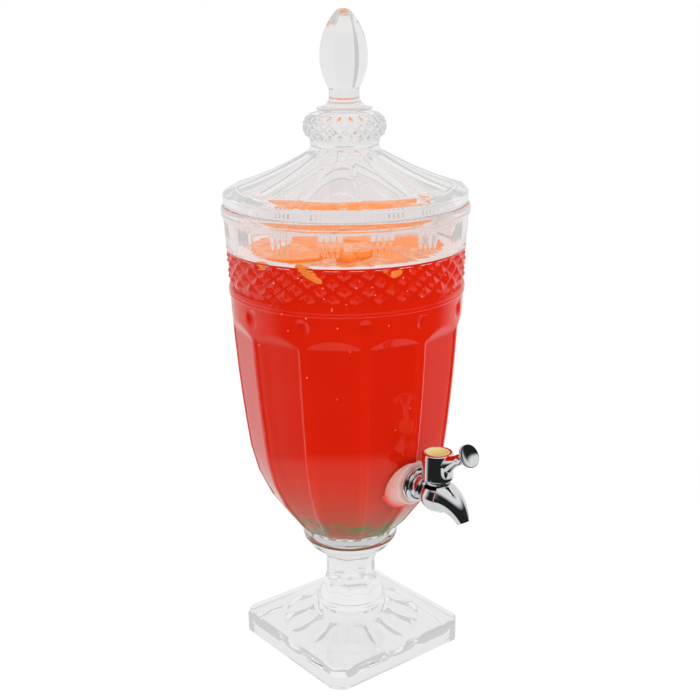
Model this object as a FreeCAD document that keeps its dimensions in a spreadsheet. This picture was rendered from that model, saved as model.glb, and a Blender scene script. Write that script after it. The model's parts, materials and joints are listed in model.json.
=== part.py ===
import FreeCAD, Part
import math
import os
import Sketcher

# Glass beverage dispenser: a pressed-glass bowl bonded to a pedestal, a loose lid with a faceted
# finial, and a chromed quarter-turn tap. Millimetres, +Z up, the tap points along -Y, and the origin
# is on the bowl's axis in the plane that the foot rests on.

doc = FreeCAD.newDocument("glass_beverage_dispenser")
sheet = doc.addObject("Spreadsheet::Sheet", "Sizes")

# Driving dimensions
DRIVING_SIZES = {
    "overshoot": 1,
    # Pedestal
    "foot_side": 141,
    "foot_corner_cut": 9,
    "foot_edge_height": 19.8,
    "foot_bevel": 3,
    "foot_border": 8,
    "foot_recess_depth": 8,
    "foot_recess_corner": 16,
    "skirt_inset": 6.5,
    "skirt_rise": 17.2,
    "skirt_sag": 3,
    "ledge_radius": 30.5,
    "ledge_band": 4,
    "ledge_step": 1.5,
    "flare_rise": 24.5,
    "flare_sag": 2.1,
    "waist_radius": 21.4,
    "waist_band": 5,
    "stem_top_rise": 13,
    "stem_top_radius": 27,
    "stem_top_sag": 1.5,
    "stem_sides": 8,
    "flat_fade": 6.5,
    "flat_fade_width": 4.6,
    "flat_sag": 1.2,
    "socket_wall": 8.5,
    "socket_roof": 6,
    "socket_round": 1.5,
    "socket_band": 4,
    "socket_flare": 4,
    "socket_flare_drop": 9,
    "hollow_inset": 3,
    "hollow_sag": 2,
    "petal_count": 12,
    "petal_overlap": 2,
    "petal_inset": 7.5,
    "petal_axis_drop": 13,
    "petal_radius": 17.5,
    # Bowl, with its heights up from its base and the bands at the rim down from its mouth
    "bond_thickness": 0.2,
    "bond_inset": 0.5,
    "base_pad_inset": 2.5,
    "collar_rise": 12.3,
    "collar_radius": 38.6,
    "collar_flare_rise": 2,
    "collar_band": 10.8,
    "collar_step": 1,
    "collar_bead_rise": 1.9,
    "knee_rise": 105.5,
    "knee_radius": 84.4,
    "lower_wall_rise": 8.5,
    "upper_wall_rise": 1.5,
    "bowl_rise": 305.8,
    "rim_radius": 98.6,
    "lip_band": 9,
    "lip_overhang": 1.6,
    "lip_foot_height": 2,
    "lip_foot_rise": 0.3,
    "lip_round": 2.5,
    "mouth_round": 1.5,
    "flute_band": 17,
    "band_step": 1,
    "band_height": 38.5,
    "band_flare": 1.7,
    "band_recess": 2.6,
    "band_bite": 1.4,
    "band_gap": 1.5,
    "ring_step": 0.5,
    "ring_bead": 3,
    "ring_bead_rise": 0.8,
    "wall": 5.5,
    "inner_wall_rise": 6.5,
    "inner_mouth_rise": 1.9,
    "floor_thickness": 29.3,
    "floor_radius": 28,
    "floor_edge_radius": 41.5,
    "floor_edge_rise": 6,
    "floor_edge_bulge": 1.6,
    # Bowl pattern
    "panel_count": 12,
    "panel_width": 42.2,
    "rib_width": 5.6,
    "panel_foot_gap": 1.7,
    "panel_foot_step": 1.4,
    "panel_rise": 1.2,
    "arch_gap": 18,
    "arch_height": 8,
    "arch_runout": 0.6,
    "arch_bulge": 0.5,
    "roundel_drop": 9,
    "roundel_radius": 7.2,
    "roundel_depth": 1.2,
    "diamond_count": 32,
    "diamond_rows": 5,
    "diamond_valley": 1.2,
    "diamond_crown": 0.4,
    "flute_groups": 16,
    "flutes_in_group": 4,
    "flute_pitch": 4.4,
    "flute_radius": 2.6,
    "flute_depth": 1.0,
    "flute_foot_gap": 2,
    "flute_head_gap": 1,
    # Tap boss
    "tap_rise": 87.8,
    "boss_stand": 0.6,
    "boss_depth": 15,
    "boss_radius": 18,
    "boss_flare": 4,
    "boss_round": 1.5,
    "tap_seat_depth": 6.5,
    "tap_seat_radius": 15,
    "tap_hole_play": 0.5,
    # Lid, with its heights each up from the one before
    "lid_gap": 0.3,
    "lid_inset": 1.7,
    "lid_edge_round": 2,
    "lid_edge_height": 7.2,
    "lid_shoulder_inset": 5,
    "lid_shoulder_rise": 5.5,
    "lid_shoulder_bulge": 1.2,
    "cone_rise": 28.5,
    "cone_top_radius": 29,
    "cone_sag": 2.1,
    "cone_wall": 6.6,
    "cone_wall_inset": 2,
    "lid_rib_width": 5,
    "lid_panel_runout": 0.6,
    "lid_panel_drop": 4.4,
    "lid_panel_bulge": 0.2,
    "lid_panel_head_step": 2,
    "lid_panel_head_drop": 0.8,
    "lid_panel_head_lean": 1.2,
    "lid_neck_rise": 4.3,
    "lid_neck_step": 1.7,
    "lid_neck_sag": 0.3,
    "bulb_rise": 14.2,
    "bulb_radius": 33.2,
    "bulb_section": 11.8,
    "bulb_band": 9.5,
    "bulb_core_drop": 1,
    "bulb_sleeve_wall": 2.5,
    "bulb_diamond_count": 24,
    "bulb_valley": 0.9,
    "bulb_crown": 0.3,
    "bell_groove_rise": 12.3,
    "bell_groove_radius": 20.5,
    "bell_groove_step": 1,
    "bell_rise": 2.3,
    "bell_radius": 22,
    "bell_sag": 3,
    "neck_rise": 9.2,
    "neck_radius": 12,
    "neck_band": 4.5,
    "egg_girdle_rise": 17.7,
    "egg_girdle_radius": 18.6,
    "egg_lower_bulge": 0.8,
    "egg_tip_rise": 42,
    "egg_tip_radius": 5,
    "egg_upper_bulge": 5.2,
    "egg_facet_bulge": 5,
    "egg_end_rise": 1,
    "egg_facets": 6,
    "lid_play": 1.5,
    "lid_flange_depth": 7.5,
    "lid_flange_wall": 5,
    "lid_flange_bevel": 1,
    "lid_flange_root": 4,
    "lid_soffit_inset": 11,
    "lid_soffit_drop": 3,
    "lid_soffit_bulge": 1,
    "dome_foot_step": 9,
    "dome_foot_sag": 0.8,
    "dome_top_step": 15,
    "dome_top_rise": 1.5,
    "dome_top_bulge": 1.2,
    # Tap, from the boss's face to the handle's axis
    "tap_reach": 26.5,
    "outer_washer_thickness": 1.5,
    "outer_washer_radius": 13.5,
    "flange_thickness": 5,
    "flange_radius": 14.75,
    "flange_step_radius": 11.8,
    "flange_edge": 0.8,
    "shank_radius": 7.9,
    "shank_length": 27,
    "shank_play": 0.2,
    "shank_bevel": 1,
    "inner_washer_thickness": 2.5,
    "inner_washer_radius": 13,
    "slip_washer_thickness": 1,
    "slip_washer_radius": 12,
    "nut_thickness": 7,
    "nut_across_flats": 22,
    "body_radius": 14,
    "body_neck_radius": 9.4,
    "body_collar_radius": 10,
    "body_collar_length": 3,
    "body_collar_bulge": 0.2,
    "body_flat": 7,
    "body_flat_radius": 11.8,
    "spout_start": 8.5,
    "spout_bend": 22,
    "spout_angle": 60,
    "spout_end": 4,
    "spout_inset": 1.1,
    "spout_tip_radius": 5,
    "spout_bore_radius": 3,
    "spout_bore_overlap": 0.5,
    "inlet_radius": 4.25,
    # Valve
    "chamber_radius": 5,
    "chamber_depth": 8.5,
    "plug_clearance": 0.05,
    "plug_end_gap": 0.2,
    "plug_shoulder": 3.2,
    "port_radius": 2.8,
    "seal_section": 0.72,
    "seal_clearance": 0.03,
    "seal_groove_play": 0.1,
    "lower_seal_height": 5.5,
    "plug_stem_radius": 3,
    "thrust_washer_thickness": 0.55,
    "bonnet_radius": 9.5,
    "bonnet_height": 6,
    "bonnet_edge": 0.8,
    "drive_side": 4.8,
    "drive_gap": 0.1,
    "drive_length": 6.6,
    # Handle
    "handle_gap": 0.3,
    "hub_radius": 12.5,
    "hub_height": 22.2,
    "hub_edge": 1.2,
    "socket_clearance": 0.1,
    "socket_depth": 7,
    "web_thickness": 3.2,
    "screw_radius": 1.25,
    "screw_head_radius": 3,
    "screw_head_height": 2.2,
    "screw_head_edge": 1,
    "screw_head_bulge": 0.5,
    "screw_slot_half": 1.8,
    "screw_slot_width": 0.7,
    "screw_length": 11,
    "spring_washer_radius": 3.6,
    "spring_washer_thickness": 0.6,
    "counterbore_radius": 4.5,
    "hub_wall": 2.9,
    "cap_thickness": 1.2,
    "cap_spigot": 3,
    "cap_spigot_wall": 1.2,
    "cap_edge": 0.3,
    "cap_border": 1.2,
    "cap_clearance": 0.05,
    "pad_reach": 35,
    "pad_rise": 7.5,
    "pad_radius": 9.25,
    "pad_edge": 1.2,
    "pad_lip": 0.9,
    "pad_lip_bulge": 0.3,
    "pad_dish": 2.6,
    "pad_dish_bulge": 0.7,
    "arm_angle": 31,
    "arm_neck": 13,
    "arm_neck_radius": 4.4,
    "arm_neck_bulge": 2,
    "arm_root": 27,
    "arm_root_radius": 6.8,
    "arm_root_bulge": 0.9,
    "arm_length": 33,
}

for row, (alias, value) in enumerate(DRIVING_SIZES.items(), start=1):
    sheet.set("A%d" % row, alias)
    sheet.set("B%d" % row, str(value))
    sheet.setAlias("B%d" % row, alias)
doc.recompute()


class Size(float):
    """A number in millimetres that carries the sheet formula it comes from."""

    def __new__(cls, value, formula):
        size = super().__new__(cls, value)
        size.formula = formula
        return size

    def __add__(self, other):
        return Size(float(self) + float(other), "(%s + %s)" % (self.formula, formula_of(other)))

    def __sub__(self, other):
        return Size(float(self) - float(other), "(%s - %s)" % (self.formula, formula_of(other)))

    def __mul__(self, other):
        return Size(float(self) * float(other), "(%s * %s)" % (self.formula, formula_of(other)))

    def __truediv__(self, other):
        return Size(float(self) / float(other), "(%s / %s)" % (self.formula, formula_of(other)))

    def __radd__(self, other):
        return Size(float(other) + float(self), "(%s + %s)" % (formula_of(other), self.formula))

    def __rsub__(self, other):
        return Size(float(other) - float(self), "(%s - %s)" % (formula_of(other), self.formula))

    def __rmul__(self, other):
        return Size(float(other) * float(self), "(%s * %s)" % (formula_of(other), self.formula))

    def __neg__(self):
        return Size(-float(self), "(0 - %s)" % self.formula)


def formula_of(value):
    return value.formula if isinstance(value, Size) else repr(float(value))


def root(value):
    return Size(math.sqrt(value), "sqrt(%s)" % formula_of(value))


def cosine(degrees):
    return Size(math.cos(math.radians(degrees)), "cos(%s)" % formula_of(degrees))


def sine(degrees):
    return Size(math.sin(math.radians(degrees)), "sin(%s)" % formula_of(degrees))


def size(alias):
    return Size(float(sheet.get(alias)), "Sizes." + alias)


def bind(target, path, value):
    if isinstance(value, Size):
        target.setExpression(path, value.formula)


def rise_of_arc(radius, start, end):
    """How far an arc of this radius stands off the straight line between its ends."""
    across = end[0] - start[0]
    up = end[1] - start[1]
    return radius - root(radius * radius - (across * across + up * up) / 4)


def new_body(label):
    body = doc.addObject("PartDesign::Body", label)
    body.Label = label
    return body


def origin_plane(body, role):
    return next(plane for plane in body.Origin.OriginFeatures if plane.Role == role)


def new_sketch(body, name, role, base=(0, 0, 0), spin_axis=(0, 0, 1), spin=0):
    """A sketch on one of the body's origin planes, moved and turned within its own frame."""
    sketch = body.newObject("Sketcher::SketchObject", name)
    sketch.AttachmentSupport = [(origin_plane(body, role), "")]
    sketch.MapMode = "FlatFace"
    sketch.AttachmentOffset = FreeCAD.Placement(
        FreeCAD.Vector(*[float(value) for value in base]),
        FreeCAD.Rotation(FreeCAD.Vector(*spin_axis), float(spin)),
    )
    for letter, value in zip("xyz", base):
        bind(sketch, "AttachmentOffset.Base." + letter, value)
    bind(sketch, "AttachmentOffset.Rotation.Angle", spin)
    return sketch


def pin_point(sketch, edge, end, point):
    """Fixes one end of an edge at its distances from the sketch's origin."""
    x_axis, y_axis = -1, -2
    for kind, axis, value in (("DistanceX", y_axis, point[0]), ("DistanceY", x_axis, point[1])):
        if float(value) == 0:
            sketch.addConstraint(Sketcher.Constraint("PointOnObject", edge, end, axis))
        else:
            index = sketch.addConstraint(Sketcher.Constraint(kind, -1, 1, edge, end, float(value)))
            bind(sketch, "Constraints[%d]" % index, value)


def outline(sketch, points):
    """A closed loop through the points. A third value is the rise of the arc that arrives at its
    point: above zero it bulges to the right of the way of travel, below zero to the left."""
    ends = []
    for index, point in enumerate(points):
        last = points[index - 1]
        start = FreeCAD.Vector(last[0], last[1], 0)
        end = FreeCAD.Vector(point[0], point[1], 0)
        if len(point) == 2:
            edge = sketch.addGeometry(Part.LineSegment(start, end))
            ends.append((edge, 1, 2))
            continue
        across = point[0] - last[0]
        up = point[1] - last[1]
        rise = point[2] if float(point[2]) > 0 else -1 * point[2]
        radius = (across * across + up * up) / (8 * rise) + rise / 2
        chord = end - start
        side = FreeCAD.Vector(chord.y, -chord.x, 0).normalize() * math.copysign(1, point[2])
        middle = (start + end) / 2 + side * float(rise)
        arc = Part.Arc(start, middle, end)
        edge = sketch.addGeometry(arc)
        forward = sketch.getPoint(edge, 1).distanceToPoint(start) < 1e-6
        ends.append((edge, 1, 2) if forward else (edge, 2, 1))
        index = sketch.addConstraint(Sketcher.Constraint("Radius", edge, float(radius)))
        bind(sketch, "Constraints[%d]" % index, radius)
    for (edge, first, last), (next_edge, next_first, _) in zip(ends, ends[1:] + ends[:1]):
        sketch.addConstraint(Sketcher.Constraint("Coincident", edge, last, next_edge, next_first))
    for (edge, _, last), point in zip(ends, points):
        pin_point(sketch, edge, last, point)
    return sketch


def circle(sketch, radius):
    edge = sketch.addGeometry(Part.Circle(FreeCAD.Vector(), FreeCAD.Vector(0, 0, 1), float(radius)))
    sketch.addConstraint(Sketcher.Constraint("Coincident", edge, 3, -1, 1))
    index = sketch.addConstraint(Sketcher.Constraint("Radius", edge, float(radius)))
    bind(sketch, "Constraints[%d]" % index, radius)
    return sketch


def turning_axis(sketch, start, end):
    """A construction line that the sketch is turned about."""
    line = Part.LineSegment(FreeCAD.Vector(*start[:2], 0), FreeCAD.Vector(*end[:2], 0))
    edge = sketch.addGeometry(line, True)
    pin_point(sketch, edge, 1, start)
    pin_point(sketch, edge, 2, end)
    return "Axis0"


def turned(kind, body, sketch, axis):
    feature = body.newObject("PartDesign::" + kind, sketch.Name + "_turned")
    feature.Profile = sketch
    feature.ReferenceAxis = (sketch, [axis])
    feature.Angle = 360
    return feature


def add_turned(body, sketch, axis="V_Axis"):
    return turned("Revolution", body, sketch, axis)


def cut_turned(body, sketch, axis="V_Axis"):
    return turned("Groove", body, sketch, axis)


def straight(kind, body, sketch, length, both_ways=False):
    feature = body.newObject("PartDesign::" + kind, sketch.Name + "_straight")
    feature.Profile = sketch
    feature.Length = float(length)
    bind(feature, "Length", length)
    if both_ways:
        feature.Midplane = True
    return feature


def ring_of(body, feature, count):
    """Repeats a feature around the body's vertical axis."""
    pattern = body.newObject("PartDesign::PolarPattern", feature.Name + "_ring")
    pattern.Originals = [feature]
    pattern.Axis = (origin_plane(body, "Z_Axis"), [""])
    pattern.Angle = 360
    pattern.Occurrences = int(count)
    bind(pattern, "Occurrences", count)
    body.Tip = pattern
    return pattern


def diamond_sleeve(name, count, rows, low, high, radius_at, valley, crown, depth):
    """A ring of pyramids in staggered rows, with flat half diamonds along both edges. Row 0 and the
    last row are the edges, and the odd rows are half a diamond round from the even ones."""
    last_row = rows + 1
    pitch = (high - low) / last_row
    turn = 2 * math.pi / count

    def point(row, steps, radius):
        angle = steps * turn
        height = low + row * pitch
        return FreeCAD.Vector(radius * math.cos(angle), radius * math.sin(angle), height)

    def corner(row, index):
        return point(row, index + (row % 2) / 2, radius_at(low + row * pitch) - valley)

    def peak(row, index):
        return point(row, index + (row % 2) / 2 + 0.5, radius_at(low + row * pitch) + crown)

    def back(row, index):
        return point(row, index, radius_at(low) - depth)

    facets = []
    for index in range(count):
        for row in range(1, last_row):
            beside = index + row % 2
            top = peak(row, index)
            loop = [corner(row, index), corner(row - 1, beside), corner(row, index + 1),
                    corner(row + 1, beside)]
            facets += [(loop[side - 1], loop[side], top) for side in range(4)]
        facets.append((corner(0, index), corner(0, index + 1), corner(1, index)))
        facets.append((corner(last_row, index), corner(last_row, index + 1), corner(rows, index)))
        for row in (0, last_row):
            facets.append((corner(row, index), corner(row, index + 1),
                           back(row, index + 1), back(row, index)))
        facets.append((back(0, index), back(0, index + 1),
                       back(last_row, index + 1), back(last_row, index)))
    faces = [Part.Face(Part.makePolygon(list(loop) + [loop[0]])) for loop in facets]
    shell = Part.makeShell(faces)
    shell.sewShape()
    solid = Part.makeSolid(shell)
    if solid.Volume < 0:
        solid.reverse()
    sleeve = doc.addObject("Part::Feature", name)
    sleeve.Shape = solid
    return sleeve


def joined(label, base, tool):
    whole = doc.addObject("Part::Fuse", label)
    whole.Label = label
    whole.Base = base
    whole.Tool = tool
    return whole


# How far the arc of a quarter circle stands off its chord, as a share of its radius
QUARTER_RISE = 1 - math.sqrt(0.5)
overshoot = size("overshoot")

# Pedestal

foot_half = size("foot_side") / 2
foot_top = size("foot_edge_height")
ledge_radius = size("ledge_radius")
ledge_height = foot_top + size("skirt_rise")
ledge_top = ledge_height + size("ledge_band")
flare_start = ledge_top + size("ledge_step")
waist_radius = size("waist_radius")
waist_low = flare_start + size("flare_rise")
waist_high = waist_low + size("waist_band")
stem_height = waist_high + size("stem_top_rise")
stem_top_radius = size("stem_top_radius")


def make_pedestal():
    body = new_body("pedestal")

    cut_half = foot_half - size("foot_corner_cut")
    plan = new_sketch(body, "plinth_plan", "XY_Plane")
    outline(plan, [
        (foot_half, -cut_half), (foot_half, cut_half), (cut_half, foot_half), (-cut_half, foot_half),
        (-foot_half, cut_half), (-foot_half, -cut_half), (-cut_half, -foot_half), (cut_half, -foot_half),
    ])
    plinth = straight("Pad", body, plan, foot_top)
    doc.recompute()

    top_edges = ["Edge%d" % (index + 1) for index, edge in enumerate(plinth.Shape.Edges)
                 if all(abs(vertex.Point.z - foot_top) < 1e-6 for vertex in edge.Vertexes)]
    bevel = body.newObject("PartDesign::Chamfer", "plinth_bevel")
    bevel.Base = (plinth, top_edges)
    bind(bevel, "Size", size("foot_bevel"))

    skirt_radius = foot_half - size("skirt_inset")
    skirt_base = foot_top - size("foot_bevel")
    ledge_step = size("ledge_step")
    top_sag = size("stem_top_sag")
    stem = new_sketch(body, "stem_profile", "XZ_Plane")
    outline(stem, [
        (0, skirt_base),
        (skirt_radius, skirt_base),
        (skirt_radius, foot_top),
        (ledge_radius, ledge_height, -size("skirt_sag")),
        (ledge_radius, ledge_top),
        (ledge_radius - ledge_step, flare_start, ledge_step * QUARTER_RISE),
        (waist_radius, waist_low, -size("flare_sag")),
        (waist_radius, waist_high),
        (stem_top_radius, stem_height, -top_sag),
        (0, stem_height),
    ])
    add_turned(body, stem)

    # Flats of the eight-sided stem, which fade out in the flare above the ledge
    half_side = 180 / size("stem_sides")
    flat_share = cosine(half_side)
    flat_start = flare_start + size("flat_fade")
    flat = new_sketch(body, "stem_flat", "XZ_Plane", spin_axis=(0, 1, 0), spin=half_side)
    outline(flat, [
        (waist_radius + size("flat_fade_width"), flat_start),
        (waist_radius * flat_share, waist_low, -size("flat_sag")),
        (waist_radius * flat_share, waist_high),
        (stem_top_radius * flat_share, stem_height, -top_sag),
        (stem_top_radius * flat_share, stem_height + overshoot),
        (foot_half, stem_height + overshoot),
        (foot_half, flat_start),
    ])
    flat_cut = straight("Pocket", body, flat, stem_top_radius, both_ways=True)
    ring_of(body, flat_cut, size("stem_sides"))

    # Underside: a square recess inside the border, a conical hollow, a round socket up the stem
    recess_half = foot_half - size("foot_border")
    corner = size("foot_recess_corner")
    recess_flat = recess_half - corner
    corner_rise = corner * QUARTER_RISE
    recess_depth = size("foot_recess_depth")
    recess = new_sketch(body, "underside_recess", "XY_Plane", base=(0, 0, recess_depth))
    outline(recess, [
        (recess_half, recess_flat),
        (recess_flat, recess_half, corner_rise), (-recess_flat, recess_half),
        (-recess_half, recess_flat, corner_rise), (-recess_half, -recess_flat),
        (-recess_flat, -recess_half, corner_rise), (recess_flat, -recess_half),
        (recess_half, -recess_flat, corner_rise),
    ])
    straight("Pocket", body, recess, recess_depth)

    socket_radius = ledge_radius - size("socket_wall")
    socket_top = ledge_height - size("socket_roof")
    socket_round = size("socket_round")
    petal_end = foot_half - size("petal_inset")
    hollow_radius = petal_end - size("hollow_inset")
    hollow = new_sketch(body, "underside_hollow", "XZ_Plane")
    outline(hollow, [
        (0, 0),
        (hollow_radius, 0),
        (hollow_radius, recess_depth),
        (socket_radius + size("socket_flare"), socket_top - size("socket_flare_drop"),
         -size("hollow_sag")),
        (socket_radius, socket_top - size("socket_band")),
        (socket_radius, socket_top - socket_round),
        (socket_radius - socket_round, socket_top, socket_round * QUARTER_RISE),
        (0, socket_top),
    ])
    cut_turned(body, hollow)

    # Petals of the sunburst, each a slice of a spindle whose axis runs down and out under the hollow
    axis_drop = size("petal_axis_drop")
    start = (socket_radius - size("petal_overlap"), socket_top - axis_drop)
    end = (petal_end, recess_depth - axis_drop)
    petal = new_sketch(body, "petal", "XZ_Plane")
    outline(petal, [start, (end[0], end[1], -size("petal_radius"))])
    cut_turned(body, petal, turning_axis(petal, start, end))
    doc.recompute()
    ring_of(body, body.Tip, size("petal_count"))
    return body


# Bowl

wall = size("wall")
bowl_base = stem_height + size("bond_thickness")
base_pad_radius = stem_top_radius - size("base_pad_inset")
collar_low = bowl_base + size("collar_rise")
collar_high = collar_low + size("collar_band")
collar_neck_radius = size("collar_radius") + size("collar_step")
knee_radius = size("knee_radius")
knee_height = bowl_base + size("knee_rise")

bowl_top = bowl_base + size("bowl_rise")
rim_radius = size("rim_radius")
mouth_radius = rim_radius - wall
lip_radius = rim_radius + size("lip_overhang")
lip_bottom = bowl_top - size("lip_band")
band_top = lip_bottom - size("flute_band")
band_bottom = band_top - size("band_height")
band_high_radius = rim_radius - size("band_step")
band_low_radius = band_high_radius - size("band_flare")
ring_low = band_bottom - size("band_gap") - size("ring_bead") * 2
ring_radius = band_low_radius - size("ring_step")

tap_height = bowl_base + size("tap_rise")
boss_distance = knee_radius + size("boss_stand")
tap_seat = boss_distance - size("tap_seat_depth")


def wall_radius_at(height):
    """Radius of the upper wall, between the knee and the double ring."""
    share = (height - knee_height) / (ring_low - knee_height)
    straight_wall = knee_radius + (ring_radius - knee_radius) * share
    return straight_wall + 4 * size("upper_wall_rise") * share * (1 - share)


def panel_face(radius, half_angle, rib_width):
    """Distance from the axis to a flat panel that leaves a rib of this width on each side."""
    half_width = radius * sine(half_angle) / cosine(half_angle) - rib_width / 2
    return root(radius * radius - half_width * half_width)


def make_bowl():
    body = new_body("bowl_blank")

    bead = size("ring_bead")
    bead_rise = size("ring_bead_rise")
    band_recess = size("band_recess")
    lip_round = size("lip_round")
    outside = new_sketch(body, "bowl_outside", "XZ_Plane")
    outline(outside, [
        (0, bowl_base),
        (base_pad_radius, bowl_base),
        (size("collar_radius"), collar_low, size("collar_flare_rise")),
        (collar_neck_radius, collar_high, size("collar_bead_rise")),
        (knee_radius, knee_height, size("lower_wall_rise")),
        (ring_radius, ring_low, size("upper_wall_rise")),
        (ring_radius + size("ring_step") / 2, ring_low + bead, bead_rise),
        (band_low_radius, ring_low + bead * 2, bead_rise),
        (band_low_radius, band_bottom),
        (band_low_radius - band_recess, band_bottom),
        (band_high_radius - band_recess, band_top),
        (band_high_radius, band_top),
        (rim_radius, lip_bottom),
        (lip_radius, lip_bottom + size("lip_foot_height"), size("lip_foot_rise")),
        (lip_radius, bowl_top - lip_round),
        (lip_radius - lip_round, bowl_top, lip_round * QUARTER_RISE),
        (0, bowl_top),
    ])
    add_turned(body, outside)

    # Twelve flat panels with arched heads, between ribs
    half_angle = 180 / size("panel_count")
    rib = size("rib_width")
    panel_foot = collar_high + size("panel_foot_gap")
    foot_radius = collar_neck_radius + size("panel_foot_step")
    apex = ring_low - size("arch_gap")
    spring = apex - size("arch_height")
    beyond = lip_radius + wall
    panel = new_sketch(body, "panel", "XZ_Plane", spin_axis=(0, 1, 0), spin=half_angle)
    outline(panel, [
        (panel_face(foot_radius, half_angle, rib), panel_foot),
        (panel_face(knee_radius, half_angle, rib), knee_height, size("lower_wall_rise")),
        (panel_face(wall_radius_at(spring), half_angle, rib), spring, size("panel_rise")),
        (wall_radius_at(apex) + size("arch_runout"), apex + overshoot, size("arch_bulge")),
        (beyond, apex + overshoot),
        (beyond, panel_foot),
    ])
    panel_cut = straight("Pocket", body, panel, size("panel_width"), both_ways=True)
    ring_of(body, panel_cut, size("panel_count"))

    # A shallow round hollow above each rib
    roundel_radius = size("roundel_radius")
    roundel_depth = size("roundel_depth")
    roundel_height = ring_low - size("roundel_drop")
    ball_radius = (roundel_radius * roundel_radius / roundel_depth + roundel_depth) / 2
    ball_centre = wall_radius_at(roundel_height) - roundel_depth + ball_radius
    roundel = new_sketch(body, "roundel", "XZ_Plane")
    face = ball_centre - ball_radius
    outline(roundel, [
        (face, roundel_height),
        (ball_centre, roundel_height + ball_radius, -ball_radius * QUARTER_RISE),
        (ball_centre, roundel_height),
    ])
    roundel_axis = turning_axis(roundel, (face, roundel_height), (ball_centre, roundel_height))
    roundel_cut = cut_turned(body, roundel, roundel_axis)
    ring_of(body, roundel_cut, size("panel_count"))

    # Groups of short upright flutes around the rim
    flute_radius = size("flute_radius")
    flute_axis_radius = (band_high_radius + rim_radius) / 2 - size("flute_depth") + flute_radius
    flute_low = band_top + size("flute_foot_gap")
    flute_high = lip_bottom - size("flute_head_gap")
    pitch_angle = size("flute_pitch") / rim_radius * (180 / math.pi)
    first_angle = pitch_angle * (size("flutes_in_group") - 1) / 2
    flute = new_sketch(body, "flute", "XZ_Plane", spin_axis=(0, 1, 0), spin=-first_angle)
    outline(flute, [
        (flute_axis_radius, flute_low),
        (flute_axis_radius + flute_radius, flute_low + flute_radius),
        (flute_axis_radius + flute_radius, flute_high - flute_radius),
        (flute_axis_radius, flute_high),
    ])
    flute_axis = turning_axis(flute, (flute_axis_radius, flute_low), (flute_axis_radius, flute_high))
    flute_cut = cut_turned(body, flute, flute_axis)
    flutes = body.newObject("PartDesign::MultiTransform", "flute_groups")
    flutes.Originals = [flute_cut]
    steps = []
    for name, count, angle in (("flutes_in_group", size("flutes_in_group"), first_angle * 2),
                               ("flute_group_ring", size("flute_groups"), 360)):
        step = body.newObject("PartDesign::PolarPattern", name)
        step.Axis = (origin_plane(body, "Z_Axis"), [""])
        step.Angle = float(angle)
        bind(step, "Angle", angle)
        step.Occurrences = int(count)
        bind(step, "Occurrences", count)
        steps.append(step)
    flutes.Transformations = steps
    body.Tip = flutes

    # Boss for the tap, turned about the shank's axis
    boss_face = -boss_distance
    boss_root = boss_face + size("boss_depth")
    boss_round = size("boss_round")
    boss_high = tap_height + size("boss_radius")
    boss = new_sketch(body, "boss", "YZ_Plane")
    outline(boss, [
        (boss_face, tap_height),
        (boss_root, tap_height),
        (boss_root, boss_high + size("boss_flare")),
        (boss_face + boss_round, boss_high),
        (boss_face, boss_high - boss_round, -boss_round * QUARTER_RISE),
    ])
    add_turned(body, boss, turning_axis(boss, (boss_face, tap_height), (boss_root, tap_height)))

    # Inside of the bowl
    floor_height = bowl_base + size("floor_thickness")
    mouth_round = size("mouth_round")
    inside = new_sketch(body, "bowl_inside", "XZ_Plane")
    outline(inside, [
        (0, floor_height),
        (size("floor_radius"), floor_height),
        (size("floor_edge_radius"), floor_height + size("floor_edge_rise"), size("floor_edge_bulge")),
        (knee_radius - wall, knee_height, size("inner_wall_rise")),
        (mouth_radius, lip_bottom, size("inner_mouth_rise")),
        (mouth_radius, bowl_top - mouth_round),
        (mouth_radius + mouth_round, bowl_top, -mouth_round * QUARTER_RISE),
        (mouth_radius + mouth_round, bowl_top + overshoot),
        (0, bowl_top + overshoot),
    ])
    cut_turned(body, inside)

    # Ground seat for the inner washer, and the hole for the shank
    seat_high = tap_height + size("tap_seat_radius")
    hole_high = tap_height + size("shank_radius") + size("tap_hole_play")
    seat_end = -tap_seat + size("tap_seat_radius")
    hole_end = boss_face - overshoot
    hole = new_sketch(body, "tap_hole", "YZ_Plane")
    outline(hole, [
        (seat_end, tap_height),
        (seat_end, seat_high),
        (-tap_seat, seat_high),
        (-tap_seat, hole_high),
        (hole_end, hole_high),
        (hole_end, tap_height),
    ])
    cut_turned(body, hole, turning_axis(hole, (seat_end, tap_height), (hole_end, tap_height)))
    doc.recompute()

    # Band of diamonds, laid into its recess
    slope = (band_high_radius - band_low_radius) / (band_top - band_bottom)
    band = diamond_sleeve(
        "diamond_band", int(size("diamond_count")), int(size("diamond_rows")),
        float(band_bottom), float(band_top),
        lambda height: float(band_low_radius + (height - band_bottom) * slope),
        float(size("diamond_valley")), float(size("diamond_crown")),
        float(band_recess + size("band_bite")),
    )
    return joined("bowl", body, band)


def make_stem_bond():
    bond = doc.addObject("Part::Cylinder", "stem_bond")
    bond.Label = "stem_bond"
    bind(bond, "Radius", base_pad_radius - size("bond_inset"))
    bind(bond, "Height", size("bond_thickness"))
    bind(bond, "Placement.Base.z", stem_height)
    return bond


# Lid

lid_seat = bowl_top + size("lid_gap")


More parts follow.
